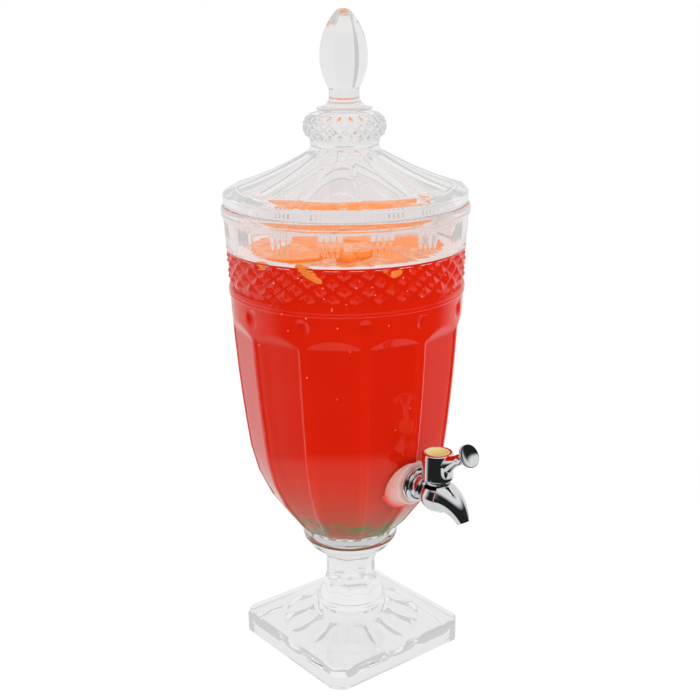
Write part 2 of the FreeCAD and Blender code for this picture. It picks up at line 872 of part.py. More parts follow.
def make_lid():
    body = new_body("lid_blank")

    flange_radius = mouth_radius - size("lid_play")
    flange_low = lid_seat - size("lid_flange_depth")
    flange_bevel = size("lid_flange_bevel")
    lid_radius = lip_radius - size("lid_inset")
    edge_round = size("lid_edge_round")
    edge_high = lid_seat + size("lid_edge_height")
    cone_sag = size("cone_sag")
    shoulder = (lid_radius - size("lid_shoulder_inset"), edge_high + size("lid_shoulder_rise"))
    cone_top = (size("cone_top_radius"), shoulder[1] + size("cone_rise"))
    lid_neck = (cone_top[0] - size("lid_neck_step"), cone_top[1] + size("lid_neck_rise"))
    bulb_height = lid_neck[1] + size("bulb_rise")
    bulb_band = size("bulb_band")
    bulb_section = size("bulb_section")
    bulb_valley = size("bulb_valley")
    bulb_centre = size("bulb_radius") - bulb_section
    band_radius = bulb_centre + root(bulb_section * bulb_section - bulb_band * bulb_band)
    core_radius = band_radius - bulb_valley - size("bulb_core_drop")
    bell_groove = bulb_height + size("bell_groove_rise")
    bell_edge = bell_groove + size("bell_rise")
    neck = (size("neck_radius"), bell_edge + size("neck_rise"))
    egg_base = neck[1] + size("neck_band")
    girdle = (size("egg_girdle_radius"), egg_base + size("egg_girdle_rise"))
    tip = (size("egg_tip_radius"), girdle[1] + size("egg_tip_rise"))
    tip_rise = size("egg_end_rise")
    top = tip[1] + tip_rise
    tip_ball = (tip[0] * tip[0] / tip_rise + tip_rise) / 2
    outside = new_sketch(body, "lid_outside", "XZ_Plane")
    outline(outside, [
        (0, flange_low),
        (flange_radius - flange_bevel, flange_low),
        (flange_radius, flange_low + flange_bevel),
        (flange_radius, lid_seat),
        (lid_radius - edge_round, lid_seat),
        (lid_radius, lid_seat + edge_round, edge_round * QUARTER_RISE),
        (lid_radius, edge_high),
        (shoulder[0], shoulder[1], size("lid_shoulder_bulge")),
        (cone_top[0], cone_top[1], -cone_sag),
        (lid_neck[0], lid_neck[1], -size("lid_neck_sag")),
        (core_radius, bulb_height - bulb_band),
        (core_radius, bulb_height + bulb_band),
        (size("bell_groove_radius"), bell_groove),
        (size("bell_radius"), bell_groove + size("bell_groove_step")),
        (size("bell_radius"), bell_edge),
        (neck[0], neck[1], -size("bell_sag")),
        (neck[0], egg_base),
        (girdle[0], girdle[1], size("egg_lower_bulge")),
        (tip[0], tip[1], size("egg_upper_bulge")),
        (0, top, rise_of_arc(tip_ball, tip, (0, top))),
    ])
    add_turned(body, outside)

    # Twelve panels down the cone, between raised ribs
    half_angle = 180 / size("panel_count")
    rib = size("lid_rib_width")
    beyond = lid_radius + wall
    panel = new_sketch(body, "lid_panel", "XZ_Plane", spin_axis=(0, 1, 0), spin=half_angle)
    panel_head = panel_face(cone_top[0] + size("lid_panel_head_step"), half_angle, rib)
    panel_high = cone_top[1] + size("lid_panel_head_step")
    panel_low = shoulder[1] - size("lid_panel_drop")
    outline(panel, [
        (lid_radius + size("lid_panel_runout"), panel_low),
        (panel_face(shoulder[0], half_angle, rib), shoulder[1], size("lid_panel_bulge")),
        (panel_head, cone_top[1] - size("lid_panel_head_drop"), -cone_sag),
        (panel_head - size("lid_panel_head_lean"), panel_high),
        (beyond, panel_high),
        (beyond, panel_low),
    ])
    panel_cut = straight("Pocket", body, panel, lid_radius / 2, both_ways=True)
    ring_of(body, panel_cut, size("panel_count"))

    # Facets of the egg, which meet in sharp edges above and below the girdle
    half_facet = 180 / size("egg_facets")
    share = cosine(half_facet)
    egg_outer = girdle[0] + neck[0]
    facet = new_sketch(body, "egg_facet", "XZ_Plane")
    outline(facet, [
        (neck[0] * share, egg_base),
        (girdle[0] * share, girdle[1], size("egg_lower_bulge")),
        (tip[0] * share, tip[1], size("egg_facet_bulge")),
        (egg_outer, tip[1]),
        (egg_outer, egg_base),
    ])
    facet_cut = straight("Pocket", body, facet, egg_outer * 2, both_ways=True)
    ring_of(body, facet_cut, size("egg_facets"))

    # Underside: inside of the locating flange, of the cone and of the dome under the bulb
    flange_inner = flange_radius - size("lid_flange_wall")
    dome_top = (cone_top[0] - size("dome_top_step"), lid_neck[1] + size("dome_top_rise"))
    underside = new_sketch(body, "lid_underside", "XZ_Plane")
    outline(underside, [
        (0, flange_low - overshoot),
        (flange_inner, flange_low - overshoot),
        (flange_inner, lid_seat + size("lid_flange_root")),
        (shoulder[0] - size("lid_soffit_inset"), shoulder[1] - size("lid_soffit_drop"),
         size("lid_soffit_bulge")),
        (cone_top[0] - size("cone_wall_inset"), cone_top[1] - size("cone_wall"), -cone_sag),
        (cone_top[0] - size("dome_foot_step"), cone_top[1], -size("dome_foot_sag")),
        (dome_top[0], dome_top[1], size("dome_top_bulge")),
        (0, dome_top[1]),
    ])
    cut_turned(body, underside)
    doc.recompute()

    centre = float(bulb_height)
    bulb = diamond_sleeve(
        "diamond_bulb", int(size("bulb_diamond_count")), int(size("diamond_rows")),
        centre - float(bulb_band), centre + float(bulb_band),
        lambda height: float(bulb_centre) + math.sqrt(float(bulb_section) ** 2 - (height - centre) ** 2),
        float(bulb_valley), float(size("bulb_crown")), float(bulb_valley + size("bulb_sleeve_wall")),
    )
    return joined("lid", body, bulb)


# Tap. Each piece is drawn about the point where the shank's axis meets the handle's axis, with the
# spout along -Y and the bowl along +Y.

hub_distance = boss_distance + size("tap_reach")
boss_plane = size("tap_reach")
seat_plane = hub_distance - tap_seat
flange_front = boss_plane - size("outer_washer_thickness") - size("flange_thickness")
sleeve_bore = size("shank_radius") + size("shank_play")


def tap_piece(label):
    body = new_body(label)
    bind(body, "Placement.Base.y", -hub_distance)
    bind(body, "Placement.Base.z", tap_height)
    return body


def washer(label, start, thickness, inner, outer):
    body = tap_piece(label)
    section = new_sketch(body, label + "_section", "YZ_Plane")
    outline(section, [(start, inner), (start + thickness, inner), (start + thickness, outer),
                      (start, outer)])
    add_turned(body, section, "H_Axis")
    return body


def make_tap_flange():
    body = tap_piece("tap_flange")
    step = size("flange_step_radius")
    edge = size("flange_radius")
    flange_edge = size("flange_edge")
    back = boss_plane - size("outer_washer_thickness")
    middle = flange_front + size("flange_thickness") / 2
    section = new_sketch(body, "flange_section", "YZ_Plane")
    outline(section, [
        (back, sleeve_bore),
        (back, edge),
        (middle + flange_edge, edge),
        (middle, edge - flange_edge, flange_edge * QUARTER_RISE),
        (middle, step),
        (flange_front + flange_edge, step),
        (flange_front, step - flange_edge, flange_edge * QUARTER_RISE),
        (flange_front, sleeve_bore),
    ])
    add_turned(body, section, "H_Axis")
    return body


def make_lock_nut():
    body = tap_piece("lock_nut")
    start = seat_plane + size("inner_washer_thickness") + size("slip_washer_thickness")
    corner = size("nut_across_flats") / 2 / cosine(30)
    plan = new_sketch(body, "nut_plan", "XZ_Plane", base=(0, 0, -start))
    outline(plan, [(corner * cosine(60 * side), corner * sine(60 * side)) if side % 3 else
                   (corner * math.cos(math.pi * side / 3), 0) for side in range(6)])
    nut = straight("Pad", body, plan, size("nut_thickness"))
    nut.Reversed = True
    bore = new_sketch(body, "nut_bore", "YZ_Plane")
    thread = size("shank_radius") + size("shank_play") / 2
    end = start + size("nut_thickness")
    outline(bore, [(start - overshoot, 0), (end + overshoot, 0), (end + overshoot, thread + overshoot * 2),
                   (end - overshoot, thread), (start - overshoot, thread)])
    cut_turned(body, bore, "H_Axis")
    return body


def spout_stations():
    """Centre, slope and distance run at each section of the spout, from the body to the tip."""
    bend = size("spout_bend")
    steps = 4
    for step in range(steps + 1):
        angle = size("spout_angle") * step / steps
        across = -size("spout_start") - bend * sine(angle)
        down = bend * cosine(angle) - bend
        yield across, down, angle, bend * angle * (math.pi / 180)
    angle = size("spout_angle")
    end = size("spout_end")
    run = bend * angle * (math.pi / 180) + end
    yield across - end * cosine(angle), down - end * sine(angle), angle, run


def spout_sections(body, name, radius_at):
    sections = []
    for index, (across, down, angle, run) in enumerate(spout_stations()):
        section = new_sketch(body, "%s_section_%d" % (name, index), "XZ_Plane",
                             base=(0, down, -across), spin_axis=(1, 0, 0), spin=angle)
        sections.append(circle(section, radius_at(run)))
    return sections


def lofted(kind, body, name, sections):
    loft = body.newObject("PartDesign::" + kind, name)
    loft.Profile = sections[0]
    loft.Sections = sections[1:]
    return loft


def make_tap_body():
    body = tap_piece("tap_body")
    ball = size("body_radius")
    neck = size("body_neck_radius")
    neck_start = root(ball * ball - neck * neck)
    shank_end = flange_front + size("shank_length")
    shank_bevel = size("shank_bevel")
    shank = size("shank_radius")
    profile = new_sketch(body, "body_profile", "YZ_Plane")
    outline(profile, [
        (-ball, 0),
        (0, ball, -ball * QUARTER_RISE),
        (neck_start, neck, -rise_of_arc(ball, (ball * 0, ball), (neck_start, neck))),
        (flange_front - size("body_collar_length"), neck),
        (flange_front, size("body_collar_radius"), size("body_collar_bulge")),
        (flange_front, shank),
        (shank_end - shank_bevel, shank),
        (shank_end, shank - shank_bevel),
        (shank_end, 0),
    ])
    add_turned(body, profile, "H_Axis")

    total = size("spout_bend") * size("spout_angle") * (math.pi / 180) + size("spout_end")
    root_radius = ball - size("spout_inset")
    taper = (root_radius - size("spout_tip_radius")) / total
    horn = spout_sections(body, "horn", lambda run: root_radius - run * taper)
    lofted("AdditiveLoft", body, "horn", horn)

    # Upright chamber for the plug, with a flat around it for the bonnet
    flat = size("body_flat")
    chamber = size("chamber_radius")
    well = new_sketch(body, "chamber", "XZ_Plane")
    outline(well, [
        (0, -size("chamber_depth")),
        (chamber, -size("chamber_depth")),
        (chamber, flat),
        (size("body_flat_radius"), flat),
        (size("body_flat_radius"), ball + overshoot),
        (0, ball + overshoot),
    ])
    cut_turned(body, well)

    inlet = new_sketch(body, "inlet", "YZ_Plane")
    inlet_end = shank_end + overshoot
    outline(inlet, [(0, 0), (inlet_end, 0), (inlet_end, size("inlet_radius")),
                    (0, size("inlet_radius"))])
    cut_turned(body, inlet, "H_Axis")

    port = new_sketch(body, "port", "YZ_Plane")
    port_length = size("spout_start") + size("spout_bore_overlap")
    outline(port, [(0, 0), (-port_length, 0), (-port_length, size("spout_bore_radius")),
                   (0, size("spout_bore_radius"))])
    cut_turned(body, port, "H_Axis")
    bore = spout_sections(body, "bore", lambda run: size("spout_bore_radius"))
    lofted("SubtractiveLoft", body, "outlet", bore)
    return body


# Heights in the valve, up from the shank's axis
plug_radius = size("chamber_radius") - size("plug_clearance")
seal_radius = size("seal_section")
shoulder_height = size("plug_shoulder")
upper_seal_radius = (size("chamber_radius") - size("plug_stem_radius")) / 2 - size("seal_clearance")
upper_seal_height = shoulder_height + upper_seal_radius + size("seal_clearance")
thrust_base = upper_seal_height + upper_seal_radius + size("seal_clearance")
spigot_base = thrust_base + size("thrust_washer_thickness")
bonnet_top = size("body_flat") + size("bonnet_height")
handle_base = bonnet_top + size("handle_gap")
drive_base = handle_base - size("drive_gap")
drive_top = drive_base + size("drive_length")
socket_top = handle_base + size("socket_depth")
web_top = socket_top + size("web_thickness")
handle_top = handle_base + size("hub_height")
cap_seat = handle_top - size("cap_thickness")
bore_clearance = size("plug_clearance") * 2
hub_inner = size("hub_radius") - size("hub_wall")


def make_bonnet_nut():
    body = tap_piece("bonnet_nut")
    inner = size("plug_stem_radius") + bore_clearance
    outer = size("bonnet_radius")
    edge = size("bonnet_edge")
    section = new_sketch(body, "bonnet_section", "XZ_Plane")
    outline(section, [
        (inner, spigot_base),
        (plug_radius, spigot_base),
        (plug_radius, size("body_flat")),
        (outer, size("body_flat")),
        (outer, bonnet_top - edge),
        (outer - edge, bonnet_top, edge * QUARTER_RISE),
        (inner, bonnet_top),
    ])
    add_turned(body, section)
    return body


def make_valve_plug():
    body = tap_piece("valve_plug")
    groove_radius = size("chamber_radius") - 2 * (seal_radius + size("seal_clearance"))
    groove_half = seal_radius + size("seal_groove_play")
    stem = size("plug_stem_radius")
    seal = -size("lower_seal_height")
    bottom = -size("chamber_depth") + size("plug_end_gap")
    profile = new_sketch(body, "plug_profile", "XZ_Plane")
    outline(profile, [
        (0, bottom),
        (plug_radius, bottom),
        (plug_radius, seal - groove_half),
        (groove_radius, seal - groove_half),
        (groove_radius, seal + groove_half),
        (plug_radius, seal + groove_half),
        (plug_radius, shoulder_height),
        (stem, shoulder_height),
        (stem, drive_base),
        (0, drive_base),
    ])
    add_turned(body, profile)

    half_side = size("drive_side") / 2
    square = new_sketch(body, "drive_square", "XY_Plane", base=(0, 0, drive_base))
    outline(square, [(half_side, -half_side), (half_side, half_side), (-half_side, half_side),
                     (-half_side, -half_side)])
    straight("Pad", body, square, size("drive_length"))

    # The cross hole lies along X while the tap is closed
    port = new_sketch(body, "cross_hole", "XZ_Plane")
    radius = size("port_radius")
    reach = plug_radius + overshoot
    outline(port, [(-reach, 0), (reach, 0), (reach, radius), (-reach, radius)])
    cut_turned(body, port, "H_Axis")

    thread = new_sketch(body, "screw_hole", "XZ_Plane")
    screw = size("screw_radius")
    depth = web_top - size("screw_length")
    outline(thread, [(0, depth), (screw, depth), (screw, drive_top + overshoot),
                     (0, drive_top + overshoot)])
    cut_turned(body, thread)
    return body


def make_seal(label, ring_radius, section_radius, height):
    seal = doc.addObject("Part::Torus", label)
    seal.Label = label
    bind(seal, "Radius1", ring_radius)
    bind(seal, "Radius2", section_radius)
    bind(seal, "Placement.Base.y", -hub_distance)
    bind(seal, "Placement.Base.z", tap_height + height)
    return seal


def upright_ring(label, low, high, inner, outer):
    body = tap_piece(label)
    section = new_sketch(body, label + "_section", "XZ_Plane")
    outline(section, [(inner, low), (outer, low), (outer, high), (inner, high)])
    add_turned(body, section)
    return body


def make_lever_handle():
    body = tap_piece("lever_handle")
    hub = size("hub_radius")
    edge = size("hub_edge")
    barrel = new_sketch(body, "barrel", "XZ_Plane")
    outline(barrel, [
        (0, handle_base),
        (hub - edge, handle_base),
        (hub, handle_base + edge, edge * QUARTER_RISE),
        (hub, handle_top - edge),
        (hub - edge, handle_top, edge * QUARTER_RISE),
        (0, handle_top),
    ])
    add_turned(body, barrel)

    # Arm and thumb pad, turned about the arm's own axis from the dish back into the barrel
    pad = size("pad_radius")
    arm = new_sketch(body, "arm", "YZ_Plane", spin=-size("arm_angle"),
                     base=(-size("pad_reach"), handle_top + size("pad_rise"), 0))
    outline(arm, [
        (size("pad_dish"), 0),
        (0, pad - size("pad_lip"), size("pad_dish_bulge")),
        (size("pad_lip_bulge"), pad, -size("pad_lip_bulge")),
        (size("pad_edge"), pad),
        (size("arm_neck"), size("arm_neck_radius"), size("arm_neck_bulge")),
        (size("arm_root"), size("arm_root_radius"), size("arm_root_bulge")),
        (size("arm_length"), size("arm_root_radius")),
        (size("arm_length"), 0),
    ])
    add_turned(body, arm, "H_Axis")

    # Square socket for the plug, open at the bottom
    half_side = size("drive_side") / 2 + size("socket_clearance")
    square = new_sketch(body, "drive_socket", "XY_Plane", base=(0, 0, socket_top))
    outline(square, [(half_side, -half_side), (half_side, half_side), (-half_side, half_side),
                     (-half_side, -half_side)])
    straight("Pocket", body, square, size("socket_depth") + overshoot)

    well = new_sketch(body, "screw_well", "XZ_Plane")
    screw = size("screw_radius") + size("socket_clearance") * 2
    cap = hub_inner + size("cap_clearance")
    well_top = handle_top + size("pad_rise")
    outline(well, [
        (0, socket_top - overshoot),
        (screw, socket_top - overshoot),
        (screw, web_top),
        (size("counterbore_radius"), web_top),
        (size("counterbore_radius"), cap_seat),
        (cap, cap_seat),
        (cap, well_top),
        (0, well_top),
    ])
    cut_turned(body, well)
    return body


def make_handle_screw():
    body = tap_piece("handle_screw")
    head_base = web_top + size("spring_washer_thickness")
    head_top = head_base + size("screw_head_height")
    shank = size("screw_radius") - size("plug_clearance")
    head = size("screw_head_radius")
    screw_end = web_top - size("screw_length") + overshoot
    profile = new_sketch(body, "screw_profile", "XZ_Plane")
    outline(profile, [
        (0, screw_end),
        (shank, screw_end),
        (shank, head_base),
        (head, head_base),
        (head, head_base + size("screw_head_edge")),
        (0, head_top, size("screw_head_bulge")),
    ])
    add_turned(body, profile)
    long_half = size("screw_slot_half")
    short_half = size("screw_slot_width") / 2
    for name, across, along in (("slot_across", long_half, short_half),
                                ("slot_along", short_half, long_half)):
        slot = new_sketch(body, name, "XY_Plane", base=(0, 0, head_top + size("screw_head_bulge")))
        outline(slot, [(across, -along), (across, along), (-across, along), (-across, -along)])
        straight("Pocket", body, slot, size("screw_head_height") - size("screw_slot_width"))
    return body


def make_cap_disc():
    body = tap_piece("cap_disc")
    radius = hub_inner
    edge = size("cap_edge")
    border = radius - size("cap_border")
    spigot = size("counterbore_radius") - size("cap_clearance")
    spigot_wall = size("cap_spigot_wall")
    profile = new_sketch(body, "cap_profile", "XZ_Plane")
    outline(profile, [
        (0, cap_seat),
        (spigot - spigot_wall, cap_seat),
        (spigot - spigot_wall, cap_seat - size("cap_spigot")),
        (spigot, cap_seat - size("cap_spigot")),
        (spigot, cap_seat),
        (radius, cap_seat),
        (radius, handle_top - edge),
        (radius - edge, handle_top, edge * QUARTER_RISE),
        (border, handle_top),
        (border - edge, handle_top - edge),
        (0, handle_top - edge),
    ])
    add_turned(body, profile)
    return body


washer_seat = seat_plane + size("inner_washer_thickness")
lower_seal_ring = size("chamber_radius") - size("seal_clearance") - seal_radius
upper_seal_ring = size("plug_stem_radius") + upper_seal_radius + size("seal_clearance")
thrust_bore = size("plug_stem_radius") + bore_clearance

pieces = [
    make_pedestal(),
    make_stem_bond(),
    make_bowl(),
    make_lid(),
    washer("outer_washer", boss_plane - size("outer_washer_thickness"),
           size("outer_washer_thickness"), sleeve_bore, size("outer_washer_radius")),
    make_tap_flange(),
    make_tap_body(),
    washer("inner_washer", seat_plane, size("inner_washer_thickness"), sleeve_bore,
           size("inner_washer_radius")),
    washer("slip_washer", washer_seat, size("slip_washer_thickness"), sleeve_bore,
           size("slip_washer_radius")),
    make_lock_nut(),
    make_valve_plug(),
    make_seal("plug_seal_lower", lower_seal_ring, seal_radius, -size("lower_seal_height")),
    make_seal("plug_seal_upper", upper_seal_ring, upper_seal_radius, upper_seal_height),
    upright_ring("thrust_washer", thrust_base, spigot_base, thrust_bore, plug_radius),
    make_bonnet_nut(),
    make_lever_handle(),
    upright_ring("spring_washer", web_top, web_top + size("spring_washer_thickness"),
                 size("screw_radius") + size("socket_clearance"), size("spring_washer_radius")),
    make_handle_screw(),
    make_cap_disc(),
]
doc.recompute()

for item in doc.Objects:
    if "Invalid" in item.State or "Error" in item.State:
        raise RuntimeError("%s did not build: %s" % (item.Label, item.State))
for piece in pieces:
    if piece.Shape.isNull() or not piece.Shape.isValid():
        raise RuntimeError("%s has no valid shape" % piece.Label)
    if len(piece.Shape.Solids) != 1:
        raise RuntimeError("%s has %d solids" % (piece.Label, len(piece.Shape.Solids)))

os.makedirs("parts", exist_ok=True)
for piece in pieces:
    piece.Shape.exportStep("parts/%s.step" % piece.Label)
    box = piece.Shape.BoundBox
    print("%-18s faces %4d volume %10.1f  x %7.1f %7.1f  y %7.1f %7.1f  z %7.1f %7.1f" % (
        piece.Label, len(piece.Shape.Faces), piece.Shape.Volume,
        box.XMin, box.XMax, box.YMin, box.YMax, box.ZMin, box.ZMax))
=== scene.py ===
import json
import math
import random

import bmesh
import bpy
import numpy as np
from mathutils import Matrix, Vector


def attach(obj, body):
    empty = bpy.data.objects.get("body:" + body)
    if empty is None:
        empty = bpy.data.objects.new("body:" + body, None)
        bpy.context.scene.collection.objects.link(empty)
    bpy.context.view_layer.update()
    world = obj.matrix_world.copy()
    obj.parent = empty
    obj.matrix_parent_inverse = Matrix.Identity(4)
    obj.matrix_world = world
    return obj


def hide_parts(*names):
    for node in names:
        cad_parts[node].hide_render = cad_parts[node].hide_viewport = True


# Glass beverage dispenser, filled with a red fruit drink, on a pale floor. Metres in the scene,
# millimetres in outlines, +Z up, the tap points along -Y.

MM = 0.001

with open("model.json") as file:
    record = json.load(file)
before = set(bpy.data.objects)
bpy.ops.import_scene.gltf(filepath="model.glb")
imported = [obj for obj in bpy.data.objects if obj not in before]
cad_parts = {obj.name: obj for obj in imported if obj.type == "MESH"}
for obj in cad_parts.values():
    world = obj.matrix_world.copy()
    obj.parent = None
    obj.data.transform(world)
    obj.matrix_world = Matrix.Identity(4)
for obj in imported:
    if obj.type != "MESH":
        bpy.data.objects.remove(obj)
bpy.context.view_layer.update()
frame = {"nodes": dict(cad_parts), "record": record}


def linear(hex_colour):
    """An sRGB hex colour as the linear colour that shaders use."""
    def channel(pair):
        value = int(pair, 16) / 255
        return value / 12.92 if value <= 0.04045 else ((value + 0.055) / 1.055) ** 2.4
    return tuple(channel(hex_colour[start:start + 2]) for start in (1, 3, 5)) + (1.0,)


def add_node(tree, kind, settings=None, inputs=None):
    """Adds a node. Settings are its properties, and inputs are values or sockets by name or number."""
    node = tree.nodes.new(kind)
    for name, value in (settings or {}).items():
        setattr(node, name, value)
    for name, value in (inputs or {}).items():
        socket = node.inputs[name]
        if isinstance(value, bpy.types.NodeSocket):
            tree.links.new(value, socket)
        else:
            socket.default_value = value
    return node


# Fields and trees of geometry nodes


class Field:
    """A number at each point of a mesh, worked out by math nodes in a tree."""

    def __init__(self, tree, socket):
        self.tree = tree
        self.socket = socket

    def math(self, operation, *others):
        values = [self, *others]
        node = add_node(self.tree, "ShaderNodeMath", {"operation": operation}, {
            place: value.socket if isinstance(value, Field) else value
            for place, value in enumerate(values)})
        return Field(self.tree, node.outputs[0])

    def __add__(self, other):
        return self.math("ADD", other)

    def __sub__(self, other):
        return self.math("SUBTRACT", other)

    def __rsub__(self, other):
        return (self * -1) + other

    def __mul__(self, other):
        return self.math("MULTIPLY", other)

    def __truediv__(self, other):
        return self.math("DIVIDE", other)

    def __rtruediv__(self, other):
        return self.math("POWER", -1.0) * other

    __radd__ = __add__
    __rmul__ = __mul__

    def wave(self, half_period):
        """Up from 0 to half a period and back again, over and over."""
        return self.math("PINGPONG", half_period)

    def at_most(self, other, softness=0.0):
        return self.math("SMOOTH_MIN", other, softness) if softness else self.math("MINIMUM", other)

    def at_least(self, other, softness=0.0):
        return self.math("SMOOTH_MAX", other, softness) if softness else self.math("MAXIMUM", other)

    def fade(self, low, high):
        """0 below the low value, 1 above the high one, and a smooth step between."""
        node = add_node(self.tree, "ShaderNodeMapRange", {"interpolation_type": "SMOOTHSTEP"},
                        {"Value": self.socket, "From Min": low, "From Max": high})
        return Field(self.tree, node.outputs[0])


def new_tree(name, numbers):
    """A tree with a geometry input and output and named number inputs. Returns the tree, its
    geometry input and the numbers as fields."""
    tree = bpy.data.node_groups.new(name, "GeometryNodeTree")
    tree.interface.new_socket("Geometry", in_out="INPUT", socket_type="NodeSocketGeometry")
    tree.interface.new_socket("Geometry", in_out="OUTPUT", socket_type="NodeSocketGeometry")
    for label in numbers:
        tree.interface.new_socket(label, in_out="INPUT", socket_type="NodeSocketFloat")
    source = add_node(tree, "NodeGroupInput")
    return tree, source.outputs["Geometry"], {
        label: Field(tree, source.outputs[label]) for label in numbers}


def end_tree(tree, geometry, material):
    whole = add_node(tree, "GeometryNodeRealizeInstances", inputs={"Geometry": geometry})
    dressed = add_node(tree, "GeometryNodeSetMaterial",
                       inputs={"Geometry": whole.outputs[0], "Material": material})
    add_node(tree, "NodeGroupOutput", inputs={"Geometry": dressed.outputs[0]})


def stored(tree, name):
    """A number that was marked on the points."""
    node = add_node(tree, "GeometryNodeInputNamedAttribute", {"data_type": "FLOAT"}, {"Name": name})
    return Field(tree, node.outputs["Attribute"])


def turned_places(tree):
    """For each point X and Y in metres, height and distance from the axis in millimetres, and the
    angle round the axis."""
    position = add_node(tree, "GeometryNodeInputPosition")
    parts = add_node(tree, "ShaderNodeSeparateXYZ", inputs={0: position.outputs[0]})
    across, along, up = (Field(tree, parts.outputs[axis]) for axis in "XYZ")
    radius = ((across * across + along * along).math("SQRT") * (1 / MM)).at_least(0.01)
    return across, along, up * (1 / MM), radius, along.math("ARCTAN2", across)


def end_pressing(tree, geometry, material, across, along, radius, depth):
    """Moves each point this many millimetres towards the axis, and ends the tree."""
    inward = depth * -1 / radius
    move = add_node(tree, "ShaderNodeCombineXYZ", inputs={
        "X": (across * inward).socket, "Y": (along * inward).socket})
    pressed = add_node(tree, "GeometryNodeSetPosition",
                       inputs={"Geometry": geometry, "Offset": move.outputs[0]})
    end_tree(tree, pressed.outputs[0], material)


def applied(piece):
    """Turns the piece's modifiers into plain mesh."""
    bpy.context.view_layer.update()
    mesh = bpy.data.meshes.new_from_object(piece.evaluated_get(bpy.context.evaluated_depsgraph_get()))
    mesh.name = piece.name
    piece.modifiers.clear()
    piece.data = mesh


def shaped_by(piece, tree, numbers):
    """Runs a tree on a piece, with its inputs set by their identifiers."""
    modifier = piece.modifiers.new(tree.name, "NODES")
    modifier.node_group = tree
    for item in tree.interface.items_tree:
        if item.item_type == "SOCKET" and item.name in numbers:
            modifier[item.identifier] = float(numbers[item.name])
    applied(piece)


# Turned outlines and meshes


def arc_points(start, end, rise, steps):
    """Points after the start along an arc. The rise is how far it stands off its chord: to the
    right of the way of travel above zero, to the left below it."""
    start, end = Vector(start), Vector(end)
    if not rise:
        return [tuple(start.lerp(end, (step + 1) / steps)) for step in range(steps)]
    half = (end - start).length / 2
    radius = (half ** 2 + rise ** 2) / (2 * rise)
    side = Vector((end.y - start.y, start.x - end.x)).normalized()
    centre = (start + end) / 2 - side * (radius - rise)
    turn = 2 * math.asin(half / radius)
    spoke = start - centre
    points = []
    for step in range(1, steps + 1):
        angle = turn * step / steps
        points.append((centre.x + spoke.x * math.cos(angle) - spoke.y * math.sin(angle),
                       centre.y + spoke.x * math.sin(angle) + spoke.y * math.cos(angle)))
    return points


def profile(*stations):
    """An outline through stations of radius and height, each after the first with the rise of the
    arc that arrives at it and into how many steps that is cut."""
    points = [stations[0][:2]]
    for radius, height, rise, steps in stations[1:]:
        points += arc_points(points[-1], (radius, height), rise, steps)
    return points


def at_heights(curve, heights):
    """Points of a rising curve at these heights."""
    radii = np.interp(heights, [point[1] for point in curve], [point[0] for point in curve])
    return [(float(radius), float(height)) for radius, height in zip(radii, heights)]


def new_piece(name, mesh):
    piece = bpy.data.objects.new(name, mesh)
    bpy.context.scene.collection.objects.link(piece)
    return piece


def spun(name, points, columns, leaning=None):
    """A closed turned piece. The outline starts and ends on the axis and has the material on its
    left. Where leaning gives 1 or -1 for a row and column, that quad is cut in two along its
    rising or its falling diagonal."""
    rings = points[1:-1]
    turns = np.arange(columns) * 2 * math.pi / columns
    radii = np.array([point[0] for point in rings])[:, None]
    heights = np.array([point[1] for point in rings])[:, None] + np.zeros(columns)
    places = np.stack((radii * np.cos(turns), radii * np.sin(turns), heights), axis=2).reshape(-1, 3)
    places = np.vstack((places, (0, 0, points[0][1]), (0, 0, points[-1][1]))) * MM
    low_pole, high_pole = len(places) - 2, len(places) - 1
    last = (len(rings) - 1) * columns
    faces = []
    for column in range(columns):
        beside = (column + 1) % columns
        faces.append((low_pole, beside, column))
        faces.append((high_pole, last + column, last + beside))
    for row in range(len(rings) - 1):
        low, high = row * columns, (row + 1) * columns
        for column in range(columns):
            beside = (column + 1) % columns
            corners = (low + column, low + beside, high + beside, high + column)
            lean = leaning(row, column) if leaning else 0
            if lean > 0:
                faces += [corners[:3], (corners[0], corners[2], corners[3])]
            elif lean < 0:
                faces += [(corners[0], corners[1], corners[3]), corners[1:]]
            else:
                faces.append(corners)
    mesh = bpy.data.meshes.new(name)
    mesh.from_pydata(places.tolist(), [], faces)
    return new_piece(name, mesh)


def mark_points(piece, name, values):
    attribute = piece.data.attributes.new(name, "FLOAT", "POINT")
    attribute.data.foreach_set("value", np.asarray(values, dtype=np.float32))


def smoothed(piece, sharp_above):
    """Smooth shading, apart from edges that turn by more than this many degrees."""
    piece.data.shade_smooth()
    piece.data.set_sharp_from_angle(angle=math.radians(sharp_above))
    return piece


def combined(piece, operation, tool):
    modifier = piece.modifiers.new(operation, "BOOLEAN")
    modifier.operation = operation
    modifier.solver = "MANIFOLD"
    modifier.object = tool
    applied(piece)
    bpy.data.objects.remove(tool)


def give_finish(tool, materials, finish):
    """Gives every face of a tool one material of the piece that it is joined to or cut from."""
    for material in materials:
        tool.data.materials.append(material)
    number = materials.find(finish.name)
    tool.data.polygons.foreach_set("material_index", [number] * len(tool.data.polygons))


def lathed_along_y(name, outline, height):
    """A closed piece turned about a line along Y at this height, from points of Y and radius that
    start and end at radius 0."""
    piece = spun(name, [(radius, along) for along, radius in outline], 96)
    piece.data.transform(Matrix.Translation((0, 0, height * MM)) @ Matrix.Rotation(-math.pi / 2, 4, "X"))
    return piece


# Materials


def new_material(name):
    material = bpy.data.materials.new(name)
    material.use_nodes = True
    material.node_tree.nodes.clear()
    return material, material.node_tree


def finish_material(tree, surface):
    add_node(tree, "ShaderNodeOutputMaterial", inputs={"Surface": surface})


